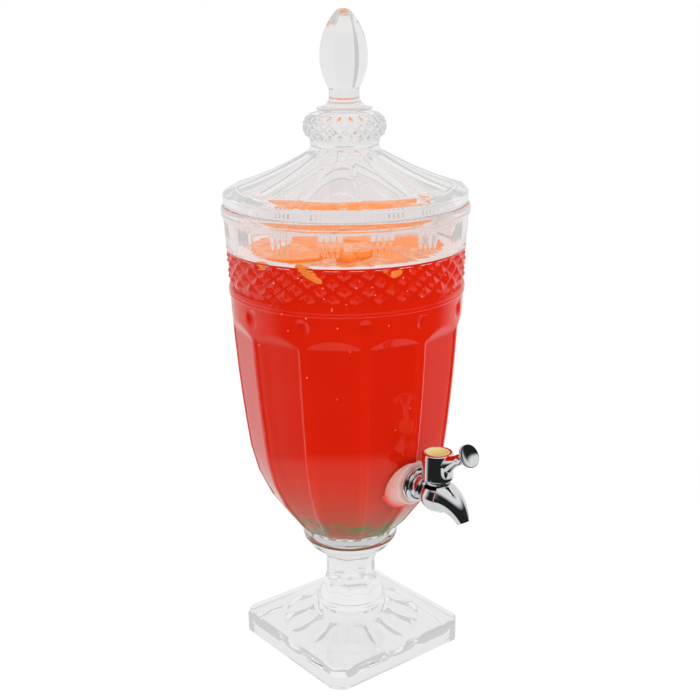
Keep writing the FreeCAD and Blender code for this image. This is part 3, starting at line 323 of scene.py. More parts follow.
def object_noise(tree, size, detail=2.0, roughness=0.5, stretch=(1, 1, 1)):
    """Noise in the object's own coordinates, with features of about this many millimetres."""
    place = add_node(tree, "ShaderNodeTexCoord")
    scaled = add_node(tree, "ShaderNodeVectorMath", {"operation": "MULTIPLY"},
                      {0: place.outputs["Object"], 1: stretch})
    return add_node(tree, "ShaderNodeTexNoise", inputs={
        "Vector": scaled.outputs[0], "Scale": 1 / (size * MM), "Detail": detail, "Roughness": roughness})


def ramp(tree, value, low, high, low_out, high_out):
    node = add_node(tree, "ShaderNodeMapRange", {"interpolation_type": "SMOOTHSTEP"}, {
        "Value": value, "From Min": low, "From Max": high, "To Min": low_out, "To Max": high_out})
    return node.outputs[0]


def mixed_colour(tree, share, low, high):
    """A blend of two colours, each an sRGB hex value or a socket."""
    low, high = (linear(colour) if isinstance(colour, str) else colour for colour in (low, high))
    node = add_node(tree, "ShaderNodeMix", {"data_type": "RGBA"}, {"Factor": share, 6: low, 7: high})
    return node.outputs[2]


def bump(tree, height, strength, distance):
    return add_node(tree, "ShaderNodeBump", inputs={
        "Height": height, "Strength": strength, "Distance": distance * MM}).outputs[0]


def glow(tree, kind, strength):
    node = add_node(tree, kind, inputs={"Color": (1, 1, 1, 1)})
    if isinstance(strength, Field):
        tree.links.new(strength.socket, node.inputs["Strength"])
    else:
        node.inputs["Strength"].default_value = strength
    return node.outputs[0]


def blended(tree, share, otherwise, then):
    return add_node(tree, "ShaderNodeMixShader",
                    inputs={0: share.socket, 1: otherwise, 2: then}).outputs[0]


def pressed_glass(name, painted_reflection_cast, painted_drink_glow="#FFFFFF"):
    """Soda-lime glass from a mould: clear, fire-polished, and faintly wavy, which bends the
    reflections a little. It lets lamplight straight through to what it holds, and light that has
    been thrown about inside it many times comes out as an even pale grey. The painted reflection
    cast is a colour laid on the reflections for what stands round or inside the glass, and the
    painted drink glow is the drink's light, painted into the base colour, that the glass carries
    up into its rim from the drink's line at 0.355 m."""
    material, tree = new_material(name)
    waves = object_noise(tree, 14, detail=1.0)
    place = add_node(tree, "ShaderNodeTexCoord").outputs["Object"]
    height = add_node(tree, "ShaderNodeSeparateXYZ", inputs={0: place}).outputs["Z"]
    # Base colour: a painted glow of the drink's light above its line. Specular tint: a painted reflection
    # cast.
    glass = add_node(tree, "ShaderNodeBsdfPrincipled", inputs={
        "Base Color": mixed_colour(tree, Field(tree, height).fade(0.352, 0.36).socket, "#FFFFFF", painted_drink_glow),
        "Roughness": 0.0, "IOR": 1.5, "Transmission Weight": 1.0,
        "Specular Tint": linear(painted_reflection_cast), "Normal": bump(tree, waves.outputs[0], 0.2, 0.08)})
    clear = add_node(tree, "ShaderNodeBsdfTransparent", inputs={"Color": linear("#F4F6F5")})
    path = add_node(tree, "ShaderNodeLightPath")
    surface = blended(tree, Field(tree, path.outputs["Is Shadow Ray"]), glass.outputs[0],
                      clear.outputs[0])
    scattered = Field(tree, path.outputs["Glossy Depth"]).math("GREATER_THAN", 2.5).at_least(
        Field(tree, path.outputs["Transmission Depth"]).math("GREATER_THAN", 8.5))
    surface = blended(tree, scattered, surface, glow(tree, "ShaderNodeEmission", 0.6))
    finish_material(tree, surface)
    return material


def chrome():
    """Bright chrome plate over a cast and polished body: a mirror with a faint orange peel."""
    material, tree = new_material("polished_chrome_plate")
    peel = object_noise(tree, 3, detail=2.0)
    smears = object_noise(tree, 9, detail=3.0)
    metal = add_node(tree, "ShaderNodeBsdfPrincipled", inputs={
        "Base Color": linear("#DCDEE0"), "Metallic": 1.0,
        "Roughness": ramp(tree, smears.outputs[0], 0.45, 0.7, 0.03, 0.09),
        "Normal": bump(tree, peel.outputs[0], 0.15, 0.05)})
    finish_material(tree, metal.outputs[0])
    return material


def gold():
    """Satin gold lacquer on a thin moulded disc: a soft yellow sheen with a fine grain and no clear
    reflections."""
    material, tree = new_material("satin_gold_lacquer")
    grain = object_noise(tree, 0.8, detail=3.0)
    metal = add_node(tree, "ShaderNodeBsdfPrincipled", inputs={
        "Base Color": mixed_colour(tree, grain.outputs[0], "#C6BC6E", "#D4CC90"), "Metallic": 0.2,
        "Roughness": 0.5})
    finish_material(tree, metal.outputs[0])
    return material


def plain(name, low_hex, high_hex, roughness, metallic=0.0, grain_size=2.0):
    """A small part's finish: two close tones in a fine grain that also breaks up the gloss."""
    material, tree = new_material(name)
    grain = object_noise(tree, grain_size, detail=3.0)
    shader = add_node(tree, "ShaderNodeBsdfPrincipled", inputs={
        "Base Color": mixed_colour(tree, grain.outputs[0], low_hex, high_hex), "Metallic": metallic,
        "Roughness": ramp(tree, grain.outputs[0], 0.3, 0.7, roughness * 0.85, roughness * 1.15)})
    finish_material(tree, shader.outputs[0])
    return material


def fruit_drink():
    """Cloudy red fruit drink: strong colour in its body, paler towards the bottom, where shreds of
    mint have settled, and an orange surface with a ring of pale froth along the glass."""
    material, tree = new_material("cloudy_red_fruit_drink")
    cloud = object_noise(tree, 60, detail=2.0).outputs[0]
    place = add_node(tree, "ShaderNodeTexCoord").outputs["Object"]
    parts = add_node(tree, "ShaderNodeSeparateXYZ", inputs={0: place})
    across, along, height = (Field(tree, parts.outputs[axis]) for axis in "XYZ")
    body = mixed_colour(tree, cloud, "#DC1C02", "#DE2404")
    body = mixed_colour(tree, height.fade(0.125, 0.2).socket, "#D4442A", body)
    shreds = Field(tree, object_noise(tree, 16, detail=3.0, stretch=(1, 1, 2)).outputs[0])
    mint = shreds.fade(0.36, 0.6) * (1 - height.fade(0.127, 0.141))
    body = mixed_colour(tree, mint.socket, body, "#747A36")
    bubbles = Field(tree, object_noise(tree, 7, detail=3.0).outputs[0])
    radius = (across * across + along * along).math("SQRT")
    froth = (radius + bubbles * 0.012).fade(0.0835, 0.0865)
    surface = mixed_colour(tree, bubbles.fade(0.35, 0.65).socket, "#EE8E54", "#F4B68C")
    surface = mixed_colour(tree, froth.socket, surface, "#F1E9E6")
    open_top = add_node(tree, "ShaderNodeAttribute", {"attribute_name": "open_top"}).outputs["Fac"]
    shader = add_node(tree, "ShaderNodeBsdfPrincipled", inputs={
        "Base Color": mixed_colour(tree, open_top, body, surface), "Roughness": 0.0, "IOR": 1.33,
        "Specular IOR Level": 0.1,
        "Transmission Weight": ramp(tree, height.socket, 0.11, 0.17, 0.35, 0.1)})
    finish_material(tree, shader.outputs[0])
    return material


def ground_glass():
    """Glass left matt by the drill: a pale, even grey that scatters the light."""
    return plain("ground_glass", "#E2D8D4", "#EFE8E4", 0.7, grain_size=0.8)


def boss_glass_with_painted_light():
    """Thick glass of the boss with painted light: a pale pink painted light where it stands out, for
    the white light carried through the thick glass, and the drink's red painted where it runs into
    the wall, with a soft gloss."""
    material, tree = new_material("boss_glass_with_painted_light")
    cloud = object_noise(tree, 9, detail=2.0)
    place = add_node(tree, "ShaderNodeTexCoord").outputs["Object"]
    parts = add_node(tree, "ShaderNodeSeparateXYZ", inputs={0: place})
    across, height = Field(tree, parts.outputs["X"]), Field(tree, parts.outputs["Z"]) - TAP_HEIGHT * MM
    from_tap = (across * across + height * height).math("SQRT")
    # Painted light: pale pink where the boss stands out, and the drink's red painted where it meets the
    # wall.
    painted_drink_red_share = (from_tap + Field(tree, cloud.outputs[0]) * 0.005).fade(0.0195, 0.027)
    pale = mixed_colour(tree, cloud.outputs[0], "#BE8C84", "#D8BCB4")
    shader = add_node(tree, "ShaderNodeBsdfPrincipled", inputs={
        "Base Color": mixed_colour(tree, painted_drink_red_share.socket, pale, "#D03420"), "Roughness": 0.12,
        "IOR": 1.5, "Transmission Weight": 0.2})
    finish_material(tree, shader.outputs[0])
    return material


def orange_flesh():
    """Wet orange flesh: bright orange with paler fibres and a little light in its depth."""
    material, tree = new_material("wet_orange_flesh")
    fibres = object_noise(tree, 4, detail=4.0, roughness=0.7)
    shader = add_node(tree, "ShaderNodeBsdfPrincipled", inputs={
        "Base Color": mixed_colour(tree, fibres.outputs[0], "#E8690A", "#F49A2C"), "Roughness": 0.25,
        "Subsurface Weight": 0.2, "Subsurface Scale": 0.004,
        "Normal": bump(tree, fibres.outputs[0], 0.4, 0.3)})
    finish_material(tree, shader.outputs[0])
    return material


# Bowl. Its blank has the heights and radii of its solid in millimetres, apart from the inner wall
# above the knee. That curves the other way here and stands up to 3.8 mm further in, so the drink
# and the fruit, which follow the solid's wall, reach into the glass there.

BOWL_COLUMNS = 768
PANELS = 12
RIB_WIDTH = 5.6
LOWER_WALL = arc_points((39.6, 108.3), (84.4, 190.7), 8.5, 200)
UPPER_WALL = arc_points((84.4, 190.7), (95.4, 319), 1.5, 200)
INNER_FLOOR = (28, 114.5)       # radius and height of the floor's edge, inside
INNER_FOOT = (41.5, 120.5)
INNER_KNEE = (78.9, 190.7)
INNER_MOUTH = (93.1, 382)
ARCH_SPRING = 292.0
ARCH_TOP = 303.0
ROUNDEL_HEIGHT = 310.0
BAND_LOW = 326.5        # of the band that holds the rows of half diamonds
BAND_HIGH = 365.0
CUT_HIGH = 354.8        # above this the band is plain
BAND_ROWS = 6
ROWS_IN_PITCH = 4
DIAMONDS = 32
FLUTE_LOW = 369.6       # of the flutes' full depth
FLUTE_HIGH = 378.6
RIM_RADIUS = 98.1
TAP_HEIGHT = 173.0


def wall_radius(height):
    """Radius of the bowl's outer wall before the pattern is pressed."""
    curve = [(39.6, 108.3)] + LOWER_WALL + UPPER_WALL
    return at_heights(curve, [height])[0][0]


def inner_wall(upper_steps):
    """Points up the solid's inner wall, from its foot to its mouth."""
    return arc_points(INNER_FOOT, INNER_KNEE, 6.5, 24) + arc_points(
        INNER_KNEE, INNER_MOUTH, 1.9, upper_steps)


def panel_face(radius):
    """Distance from the axis to a flat panel that leaves the ribs standing beside it."""
    half_width = radius * math.tan(math.pi / PANELS) - RIB_WIDTH / 2
    return math.sqrt(radius ** 2 - half_width ** 2)


def bowl_outline():
    """The blank's outline, with the number of the first row and last row of its pressed wall and
    of its band of diamonds."""
    outline = profile((0, 85.2), (23.8, 85.2, 0, 1), (24.5, 85.5, 0.1, 2), (38.6, 97.5, 2, 6),
                      (39.6, 108.3, 1.9, 6))
    first = len(outline)
    heights = [108.8, 109.3, 109.8, 110.3, 110.9, 111.8, 113.2, 115.5]
    heights += list(np.linspace(119, 280, 8)) + list(np.linspace(288, 318.4, 17))
    outline += at_heights([(39.6, 108.3)] + LOWER_WALL + UPPER_WALL, heights)
    outline += profile((95.4, 319), (95.65, 322, 0.8, 4), (95.9, 325, 0.8, 4))
    outline += [(95.9, 325.9)]
    band = len(outline)
    pitch_rows = BAND_ROWS * ROWS_IN_PITCH
    for step in range(pitch_rows + 1):
        share = step / pitch_rows
        outline.append((95.9 + 1.7 * share, BAND_LOW + (BAND_HIGH - BAND_LOW) * share))
    outline += [(97.6, 365.6)]
    outline += [(97.6 + (height - 365) / 17, height) for height in np.linspace(366.6, 381.6, 8)]
    last = len(outline)
    outline += profile((98.7, 382.3), (100.2, 384, 0.4, 4), (100.2, 388.5, 0, 3),
                       (97.7, 391, 0.73, 4), (94.6, 391, 0, 1), (93.1, 389.5, 0.44, 2),
                       (*INNER_MOUTH, 0, 1), (*INNER_KNEE, 1.9, 6), (*INNER_FOOT, -6.5, 6),
                       (*INNER_FLOOR, -1.6, 3), (0, INNER_FLOOR[1], 0, 1))
    return outline, first, last, band


def diamonds(angle, height, count, low, high):
    """Height, from 0 to 1, of pyramids in staggered rows round a band, with flat half diamonds
    along the band's edges."""
    around = (angle * count / (2 * math.pi)).wave(0.5)
    rows_up = (height - low) * (BAND_ROWS / 2 / (high - low))
    odd = 1 - (around + 0.5 - rows_up.wave(0.5)) * 2
    inner_rows = rows_up.at_least(0.5).at_most(BAND_ROWS / 2 - 0.5)
    even = 1 - (0.5 - around + inner_rows.wave(0.5)) * 2
    return odd.at_least(even).at_least(0)


def bowl_pattern(material):
    """Presses the mould's pattern into the blank: flat panels with arched heads between ribs, a
    round hollow above each rib, a band of diamonds and groups of flutes at the rim."""
    tree, geometry, number = new_tree("bowl_pattern", (
        "Panels", "Rib Width", "Panel Step", "Roundel Radius", "Roundel Depth", "Diamonds", "Diamond Valley",
        "Diamond Crown", "Flute Groups", "Flute Pitch", "Flute Depth"))
    across, along, height, radius, angle = turned_places(tree)

    # Panels: a flat face across each sector, and above its spring a slope that runs out in an arch
    half_sector = math.pi / number["Panels"].math("MAXIMUM", 1)
    beside = angle.wave(half_sector)
    off_centre = half_sector - beside
    half_width = radius * half_sector.math("TANGENT") - number["Rib Width"] * 0.5
    step = number["Panel Step"]
    face = (radius * radius - half_width * half_width).math("SQRT") - step
    foot_of_arch = panel_face(wall_radius(ARCH_SPRING)) - step
    slope = (wall_radius(ARCH_TOP) + 0.6 - foot_of_arch) / (ARCH_TOP - ARCH_SPRING)
    face = face.at_least((height - ARCH_SPRING) * slope + foot_of_arch, 0.5)
    beside_rib = (half_width - radius * off_centre).fade(-0.7, 1.3)
    panel = (radius - face / off_centre.math("COSINE")).at_least(0, 0.4) * beside_rib
    panel = panel * height.fade(109.3, 110.9)

    # Roundels: a slice of a ball above each rib
    roundel_radius, roundel_depth = number["Roundel Radius"], number["Roundel Depth"]
    from_rib = radius * beside
    above = height - ROUNDEL_HEIGHT
    distance = from_rib * from_rib + above * above
    bowl_shape = roundel_depth - distance * roundel_depth / (roundel_radius * roundel_radius)
    roundel = bowl_shape.at_least(0, 0.2)

    # Diamonds, with flanks that are steepest half way up, below a plain band at the drink's level
    pyramid = diamonds(angle, height, number["Diamonds"], BAND_LOW, BAND_HIGH)
    pyramid = (pyramid + pyramid.fade(0, 1)) * 0.5
    valley, crown = number["Diamond Valley"], number["Diamond Crown"]
    in_band = height.fade(BAND_LOW - 0.6, BAND_LOW) * (1 - height.fade(CUT_HIGH, CUT_HIGH + 0.6))
    diamond = (valley - pyramid * (valley + crown)) * in_band

    # Flutes: four upright channels in each group, with ends that run out
    groups = number["Flute Groups"]
    pitch = number["Flute Pitch"]
    from_middle = (angle + math.pi / groups.math("MAXIMUM", 1)).math(
        "FLOORED_MODULO", 2 * math.pi / groups) - math.pi / groups
    sideways = from_middle.math("ABSOLUTE") * RIM_RADIUS
    from_flute = (pitch * 0.5 - sideways.wave(pitch * 0.5)).at_least(sideways - pitch * 1.5)
    from_end = (FLUTE_LOW - height).at_least(height - FLUTE_HIGH).at_least(0)
    flute_shape = number["Flute Depth"] - from_flute * 0.6 - from_end * 0.7
    flute = flute_shape.at_least(0, 0.1) * height.fade(365.5, 366.5) * (1 - height.fade(380.8, 381.6))

    depth = (panel + roundel + diamond + flute) * stored(tree, "pressed")
    end_pressing(tree, geometry, material, across, along, radius, depth)
    return tree


def make_bowl(material, ground, painted_boss_glass):
    outline, first, last, band = bowl_outline()
    half = BOWL_COLUMNS // DIAMONDS // 2

    def leaning(row, column):
        """Cuts the band's quads so that the diamonds' slanting edges run along them."""
        step = row - (band - 1)
        if not 0 <= step < BAND_ROWS * ROWS_IN_PITCH:
            return 0
        share = (column + 0.5) / half - (step + 0.5) / ROWS_IN_PITCH
        return 1 if abs(share / 2 - round(share / 2)) < 0.25 else -1

    bowl = spun("bowl_glass", outline, BOWL_COLUMNS, leaning)
    rings = len(outline) - 2
    mask = np.zeros(rings * BOWL_COLUMNS + 2)
    mask[(first - 1) * BOWL_COLUMNS:(last - 1) * BOWL_COLUMNS] = 1
    mark_points(bowl, "pressed", mask)
    shaped_by(bowl, bowl_pattern(material), {
        "Panels": PANELS, "Rib Width": RIB_WIDTH, "Panel Step": 0.8, "Roundel Radius": 7.4,
        "Roundel Depth": 2.6, "Diamonds": DIAMONDS, "Diamond Valley": 2.4, "Diamond Crown": 0.4,
        "Flute Groups": 16, "Flute Pitch": 4.815, "Flute Depth": 1.5})
    boss = lathed_along_y("boss", profile(
        (-85, 0), (-85, 16.5, 0, 1), (-83.5, 18, -0.44, 6), (-78, 19.4, 0, 2), (-71, 25, 1.2, 6),
        (-69, 25, 0, 1), (-69, 0, 0, 1)), TAP_HEIGHT)
    for finish in (ground, painted_boss_glass):
        bowl.data.materials.append(finish)
    give_finish(boss, bowl.data.materials, painted_boss_glass)
    combined(bowl, "UNION", boss)
    hole = lathed_along_y("hole", [(-86, 0), (-86, 8.4), (-78.5, 8.4), (-78.5, 15), (-63.5, 15),
                                   (-63.5, 0)], TAP_HEIGHT)
    give_finish(hole, bowl.data.materials, ground)
    combined(bowl, "DIFFERENCE", hole)
    smoothed(bowl, 42)
    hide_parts("bowl")
    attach(bowl, "dispenser")


# Pedestal. Outside it keeps the heights and radii of its solid in millimetres, to 1.4 mm where
# the flats and edges are softened. The hollow under its foot is up to 8.3 mm shallower here.

PEDESTAL_COLUMNS = 384


def pedestal_outline():
    """Outline from the socket's roof out under the foot, up its edge and up the stem, and for each
    point whether it lies on the underside and whether it follows the foot's square plan."""
    underside = profile((0, 31), (20.5, 31, 0, 3), (22, 29.5, 0.44, 4), (22, 27, 0, 1), (26, 22, -0.5, 5),
                        (60, 8, 2, 20))
    foot = profile((62.5, 8), (62.5, 0.8, 0, 3), (63.3, 0, -0.2, 3), (69.2, 0, 0, 2), (70.5, 1.3, 0.38, 5),
                   (70.5, 17, 0, 4), (67.7, 19.8, 0.7, 6))
    stem = profile((64, 19.8), (30.5, 37, -3, 20), (30.5, 41, 0, 3), (29, 42.5, 0.44, 4),
                   (21.4, 67, -2.1, 24), (21.4, 72, 0, 4), (27, 85, -1.5, 10), (0, 85, 0, 3))
    below = [1] * len(underside) + [0] * (len(foot) + len(stem))
    square = [0] * len(underside) + [1] * len(foot) + [0] * len(stem)
    return underside + foot + stem, below, square


def pedestal_pattern(material):
    """Shapes the turned blank: a square foot with softened corners, an eight-sided stem whose
    flats fade out in the flare, and soft petals pressed up into the underside."""
    tree, geometry, number = new_tree("pedestal_pattern", (
        "Foot Half", "Corner Cut", "Stem Sides", "Petals", "Petal Depth"))
    across, along, height, radius, angle = turned_places(tree)

    # Plan: how much wider a square with cut corners is than the circle inside it
    cosine, sine = ((place / (radius * MM)).math("ABSOLUTE") for place in (across, along))
    half = number["Foot Half"]
    corner = (half * 2 - number["Corner Cut"]) / (half * (cosine + sine))
    plan = (1 / cosine.at_least(sine)).at_most(corner, 0.03)

    # Stem: flats between upright edges
    half_side = math.pi / number["Stem Sides"].math("MAXIMUM", 1)
    flat = half_side.math("COSINE") / (half_side - angle.wave(half_side)).math("COSINE")
    wider = stored(tree, "square") * (plan - 1) + (flat - 1) * height.fade(46, 56)

    # Petals: hollows side by side that run out towards the socket and the border
    half_petal = math.pi / number["Petals"].math("MAXIMUM", 1)
    beside = angle.wave(half_petal) / half_petal
    petal = 1 - beside * beside
    lift = petal * number["Petal Depth"] * radius.fade(24, 36) * (1 - radius.fade(48, 61))
    lift = lift * stored(tree, "below")

    move = add_node(tree, "ShaderNodeCombineXYZ", inputs={
        "X": (across * wider).socket, "Y": (along * wider).socket, "Z": (lift * MM).socket})
    shaped = add_node(tree, "GeometryNodeSetPosition",
                      inputs={"Geometry": geometry, "Offset": move.outputs[0]})
    end_tree(tree, shaped.outputs[0], material)
    return tree


def make_pedestal(material):
    outline, below, square = pedestal_outline()
    pedestal = spun("pedestal_glass", outline, PEDESTAL_COLUMNS)
    for name, values in (("below", below), ("square", square)):
        mark_points(pedestal, name, np.append(np.repeat(values[1:-1], PEDESTAL_COLUMNS), (0, 0)))
    shaped_by(pedestal, pedestal_pattern(material), {
        "Foot Half": 70.5, "Corner Cut": 9, "Stem Sides": 8, "Petals": 12, "Petal Depth": 3.5})
    smoothed(pedestal, 28)
    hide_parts("pedestal")
    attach(pedestal, "dispenser")


# Lid. Its blank has the heights and radii of its solid in millimetres.

LID_COLUMNS = 384
BULB_LOW = 441.5
BULB_HIGH = 460.5


def lid_outline():
    """Outline from the middle of the underside round the locating flange and up to the tip, with
    the number of the first row of the cone."""
    outline = profile((0, 438.3), (14, 438.3, 0, 3), (20, 432.5, -1.2, 6), (27, 425.9, 0.8, 6),
                      (82.5, 401, 2.1, 14), (86.6, 395.3, -1, 5), (86.6, 383.8, 0, 2),
                      (90.6, 383.8, 0, 1), (91.6, 384.8, 0, 1), (91.6, 391.3, 0, 2),
                      (96.5, 391.3, 0, 1), (98.5, 393.3, 0.59, 5), (98.5, 398.5, 0, 2))
    first = len(outline)
    outline += profile((98.5, 398.9), (93.5, 404, 1.2, 8), (29, 432.5, -2.1, 40), (27.3, 436.8, -0.3, 5),
                       (28, 441, 0, 2))
    for height in np.linspace(BULB_LOW, BULB_HIGH, 6 * 4 + 1):
        outline.append((21.4 + math.sqrt(11.8 ** 2 - (height - 451) ** 2), float(height)))
    outline += profile((28, 460.9), (20.5, 463.3, 0, 4), (22, 464.3, 0, 2), (22, 465.6, 0, 2),
                       (12, 474.8, -3, 12), (12, 479.3, 0, 3), (18.6, 497, 0.8, 12), (5, 539, 5.2, 36),
                       (0, 540, 0.45, 5))
    return outline, first


def lid_pattern(material):
    """Presses the lid: flat panels between raised ribs down the cone, diamonds round the bulb and
    the flat sides of the finial."""
    tree, geometry, number = new_tree("lid_pattern", (
        "Panels", "Rib Width", "Panel Step", "Bulb Diamonds", "Diamond Valley", "Diamond Crown",
        "Finial Sides"))
    across, along, height, radius, angle = turned_places(tree)

    # Panels: a flat face down the cone between ribs
    half_sector = math.pi / number["Panels"].math("MAXIMUM", 1)
    off_centre = half_sector - angle.wave(half_sector)
    half_width = radius * half_sector.math("TANGENT") - number["Rib Width"] * 0.5
    face = (radius * radius - half_width * half_width).math("SQRT") - number["Panel Step"]
    beside_rib = (half_width - radius * off_centre).fade(-0.7, 0.9)
    panel = (radius - face / off_centre.math("COSINE")) * beside_rib
    panel = panel * height.fade(400.5, 404.0) * (1 - height.fade(430.5, 432.5))

    # Diamonds round the bulb
    pyramid = diamonds(angle, height, number["Bulb Diamonds"], BULB_LOW, BULB_HIGH)
    valley, crown = number["Diamond Valley"], number["Diamond Crown"]
    in_band = height.fade(BULB_LOW - 0.5, BULB_LOW) * (1 - height.fade(BULB_HIGH, BULB_HIGH + 0.4))
    diamond = (valley - pyramid * (valley + crown)) * in_band

    # Flat sides of the finial
    half_side = math.pi / number["Finial Sides"].math("MAXIMUM", 1)
    flat = 1 - half_side.math("COSINE") / angle.wave(half_side).math("COSINE")
    side = radius * flat * height.fade(479.2, 480.5)

    depth = (panel + diamond + side) * stored(tree, "pressed")
    end_pressing(tree, geometry, material, across, along, radius, depth)
    return tree


def make_lid(material):
    outline, first = lid_outline()
    lid = spun("lid_glass", outline, LID_COLUMNS)
    mask = np.ones((len(outline) - 2) * LID_COLUMNS + 2)
    mask[:(first - 1) * LID_COLUMNS] = 0
    mark_points(lid, "pressed", mask)
    shaped_by(lid, lid_pattern(material), {
        "Panels": PANELS, "Rib Width": 5.0, "Panel Step": 1.0, "Bulb Diamonds": 24,
        "Diamond Valley": 0.9, "Diamond Crown": 0.3, "Finial Sides": 6})
    smoothed(lid, 26)
    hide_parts("lid")
    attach(lid, "lid")


# Drink

DRINK_TOP = 355.0
DRINK_COLUMNS = 192
CLIMB = 1.2             # of the drink's edge up the wall
INTO_GLASS = 0.3        # so that no film of air shows between the drink and the glass

# Slices afloat at the line: degrees round the axis, distance from it, height, radius, thickness,
# and tilt in degrees about the outward and the sideways line
ORANGE_SLICES = (
    (214, 52, 352.5, 27, 5, -3, 2), (184, 50, 352, 28, 6, 4, -2), (252, 50, 352.5, 27, 5, 3, 2),
    (30, 48, 352, 31, 6, 4, 2), (120, 46, 352, 30, 6, -3, 3), (316, 50, 352.5, 28, 6, 5, -2))
SLICES_FROM_WALL = 9
FRUIT_LOW = 320
FRUIT_HIGH = 361

# Pieces of flesh: degrees round the axis, distance from it, height, half length, half width, and
# tilt in degrees. Those at the wall press against the glass.
ORANGE_PIECES = (
    (214.5, 89, 351, 13, 4.6, -31), (255.5, 89, 351, 6.5, 4.4, 12), (250, 90, 353.2, 4.5, 2.6, -5),
    (188, 89, 353, 8, 3.8, -8), (232, 60, 356, 8, 6, 0), (243, 52, 356, 9, 6, 20),
    (40, 89, 351, 9, 5, 20), (96, 89, 350.5, 7, 5, -15))
PIECES_PAST_WALL = 0.45


def make_drink(material):
    """Fills the bowl to its line, and climbs the wall a little at its edge."""
    wall = inner_wall(120)
    inner = [INNER_FLOOR] + arc_points(INNER_FLOOR, INNER_FOOT, 1.6, 6)
    inner += [point for point in wall if point[1] < DRINK_TOP]
    radius = at_heights(wall, [DRINK_TOP + CLIMB])[0][0]
    floor_edge, floor = INNER_FLOOR[0], INNER_FLOOR[1] - INTO_GLASS
    outline = [(0, floor), (floor_edge, floor)]
    outline += [(point[0] + INTO_GLASS, point[1]) for point in inner[1:]]
    body_rings = len(outline)       # with the ring where the top meets the glass
    outline += profile((radius + INTO_GLASS, DRINK_TOP + CLIMB), (radius - 0.1, DRINK_TOP + CLIMB, 0, 1),
                       (radius - 2.2, DRINK_TOP, -0.35, 5), (radius - 20, DRINK_TOP, 0, 2),
                       (0, DRINK_TOP, 0, 1))
    top_rings = len(outline) - 2 - body_rings
    drink = smoothed(spun("fruit_drink", outline, DRINK_COLUMNS), 40)
    mark_points(drink, "open_top", np.concatenate((
        np.zeros(body_rings * DRINK_COLUMNS), np.ones(top_rings * DRINK_COLUMNS), (0, 1))))
    drink.data.materials.append(material)
    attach(drink, "dispenser")


def drink_wall(height, beyond):
    """Radius this far beyond the solid's inner wall at this height."""
    return at_heights(inner_wall(60), [height])[0][0] + beyond


def make_fruit(material):
    """Orange slices and pieces, trimmed along the solid's inner wall."""
    pieces = []
    for number, (around, reach, height, size, thickness, lean, roll) in enumerate(ORANGE_SLICES):
        slab = spun("orange_slice_%d" % number, profile(
            (0, -thickness / 2), (size - 1.5, -thickness / 2, 0, 3), (size, 0, 1.2, 4),
            (size - 1.5, thickness / 2, 1.2, 4), (0, thickness / 2, 0, 3)), 64)
        slab.data.transform(
            Matrix.Rotation(math.radians(around), 4, "Z")
            @ Matrix.Translation((reach * MM, 0, height * MM))
            @ Matrix.Rotation(math.radians(lean), 4, "X") @ Matrix.Rotation(math.radians(roll), 4, "Y"))
        pieces.append((slab, -SLICES_FROM_WALL))
    for number, (around, reach, height, length, width, lean) in enumerate(ORANGE_PIECES):
        lump = spun("orange_piece_%d" % number, [
            (math.sin(step * math.pi / 12), -math.cos(step * math.pi / 12)) for step in range(13)], 24)
        lump.data.transform(
            Matrix.Rotation(math.radians(around), 4, "Z") @ Matrix.Translation((reach * MM, 0, height * MM))
            @ Matrix.Rotation(math.radians(lean), 4, "X") @ Matrix.Diagonal((width, length, width, 1)))
        pieces.append((lump, PIECES_PAST_WALL))
    heights = np.linspace(FRUIT_LOW, FRUIT_HIGH, 12)
    for piece, beyond in pieces:
        wall = [(drink_wall(height, beyond), float(height)) for height in heights]
        bound = spun("bound", [(0, FRUIT_LOW), *wall, (0, FRUIT_HIGH)], DRINK_COLUMNS)
        combined(piece, "INTERSECT", bound)
        piece.data.materials.clear()
        piece.data.materials.append(material)
        smoothed(piece, 40)
        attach(piece, "dispenser")


def make_bubbles(material):
    """Small air bubbles that cling to the glass, most of them near the line."""
    chance = random.Random(7)
    work = bmesh.new()
    for _ in range(150):
        around = chance.uniform(0, 2 * math.pi)
        height = chance.triangular(315, 353, 350) if chance.random() < 0.75 else chance.uniform(160, 320)
        radius = drink_wall(height, INTO_GLASS - 0.05)
        place = Matrix.Translation((radius * math.cos(around) * MM, radius * math.sin(around) * MM,
                                    height * MM))
        bmesh.ops.create_icosphere(work, subdivisions=1, radius=chance.uniform(0.25, 0.55) * MM,
                                   matrix=place)
    mesh = bpy.data.meshes.new("air_bubbles")
    work.to_mesh(mesh)
    work.free()
    bubbles = smoothed(new_piece("air_bubbles", mesh), 60)
    mesh.materials.append(material)
    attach(bubbles, "dispenser")


# Carried-over solids


def dressed(node_name, material):
    """Puts a smooth-shaded copy of a solid's mesh in the solid's place."""
    node = frame["nodes"][node_name]
    mesh = node.data.copy()
    work = bmesh.new()
    work.from_mesh(mesh)
    bmesh.ops.remove_doubles(work, verts=work.verts, dist=2e-6)
    work.to_mesh(mesh)
    work.free()
    mesh.materials.clear()
    mesh.materials.append(material)
    piece = smoothed(new_piece(node_name + "_dressed", mesh), 30)
    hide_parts(node_name)
    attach(piece, next(body for body, nodes in frame["record"]["behaviour"]["bodies"].items()
                        if node_name in nodes))
    next(part["material_slot"] for part in frame["record"]["subparts"]
                        if part["node"] == node_name)


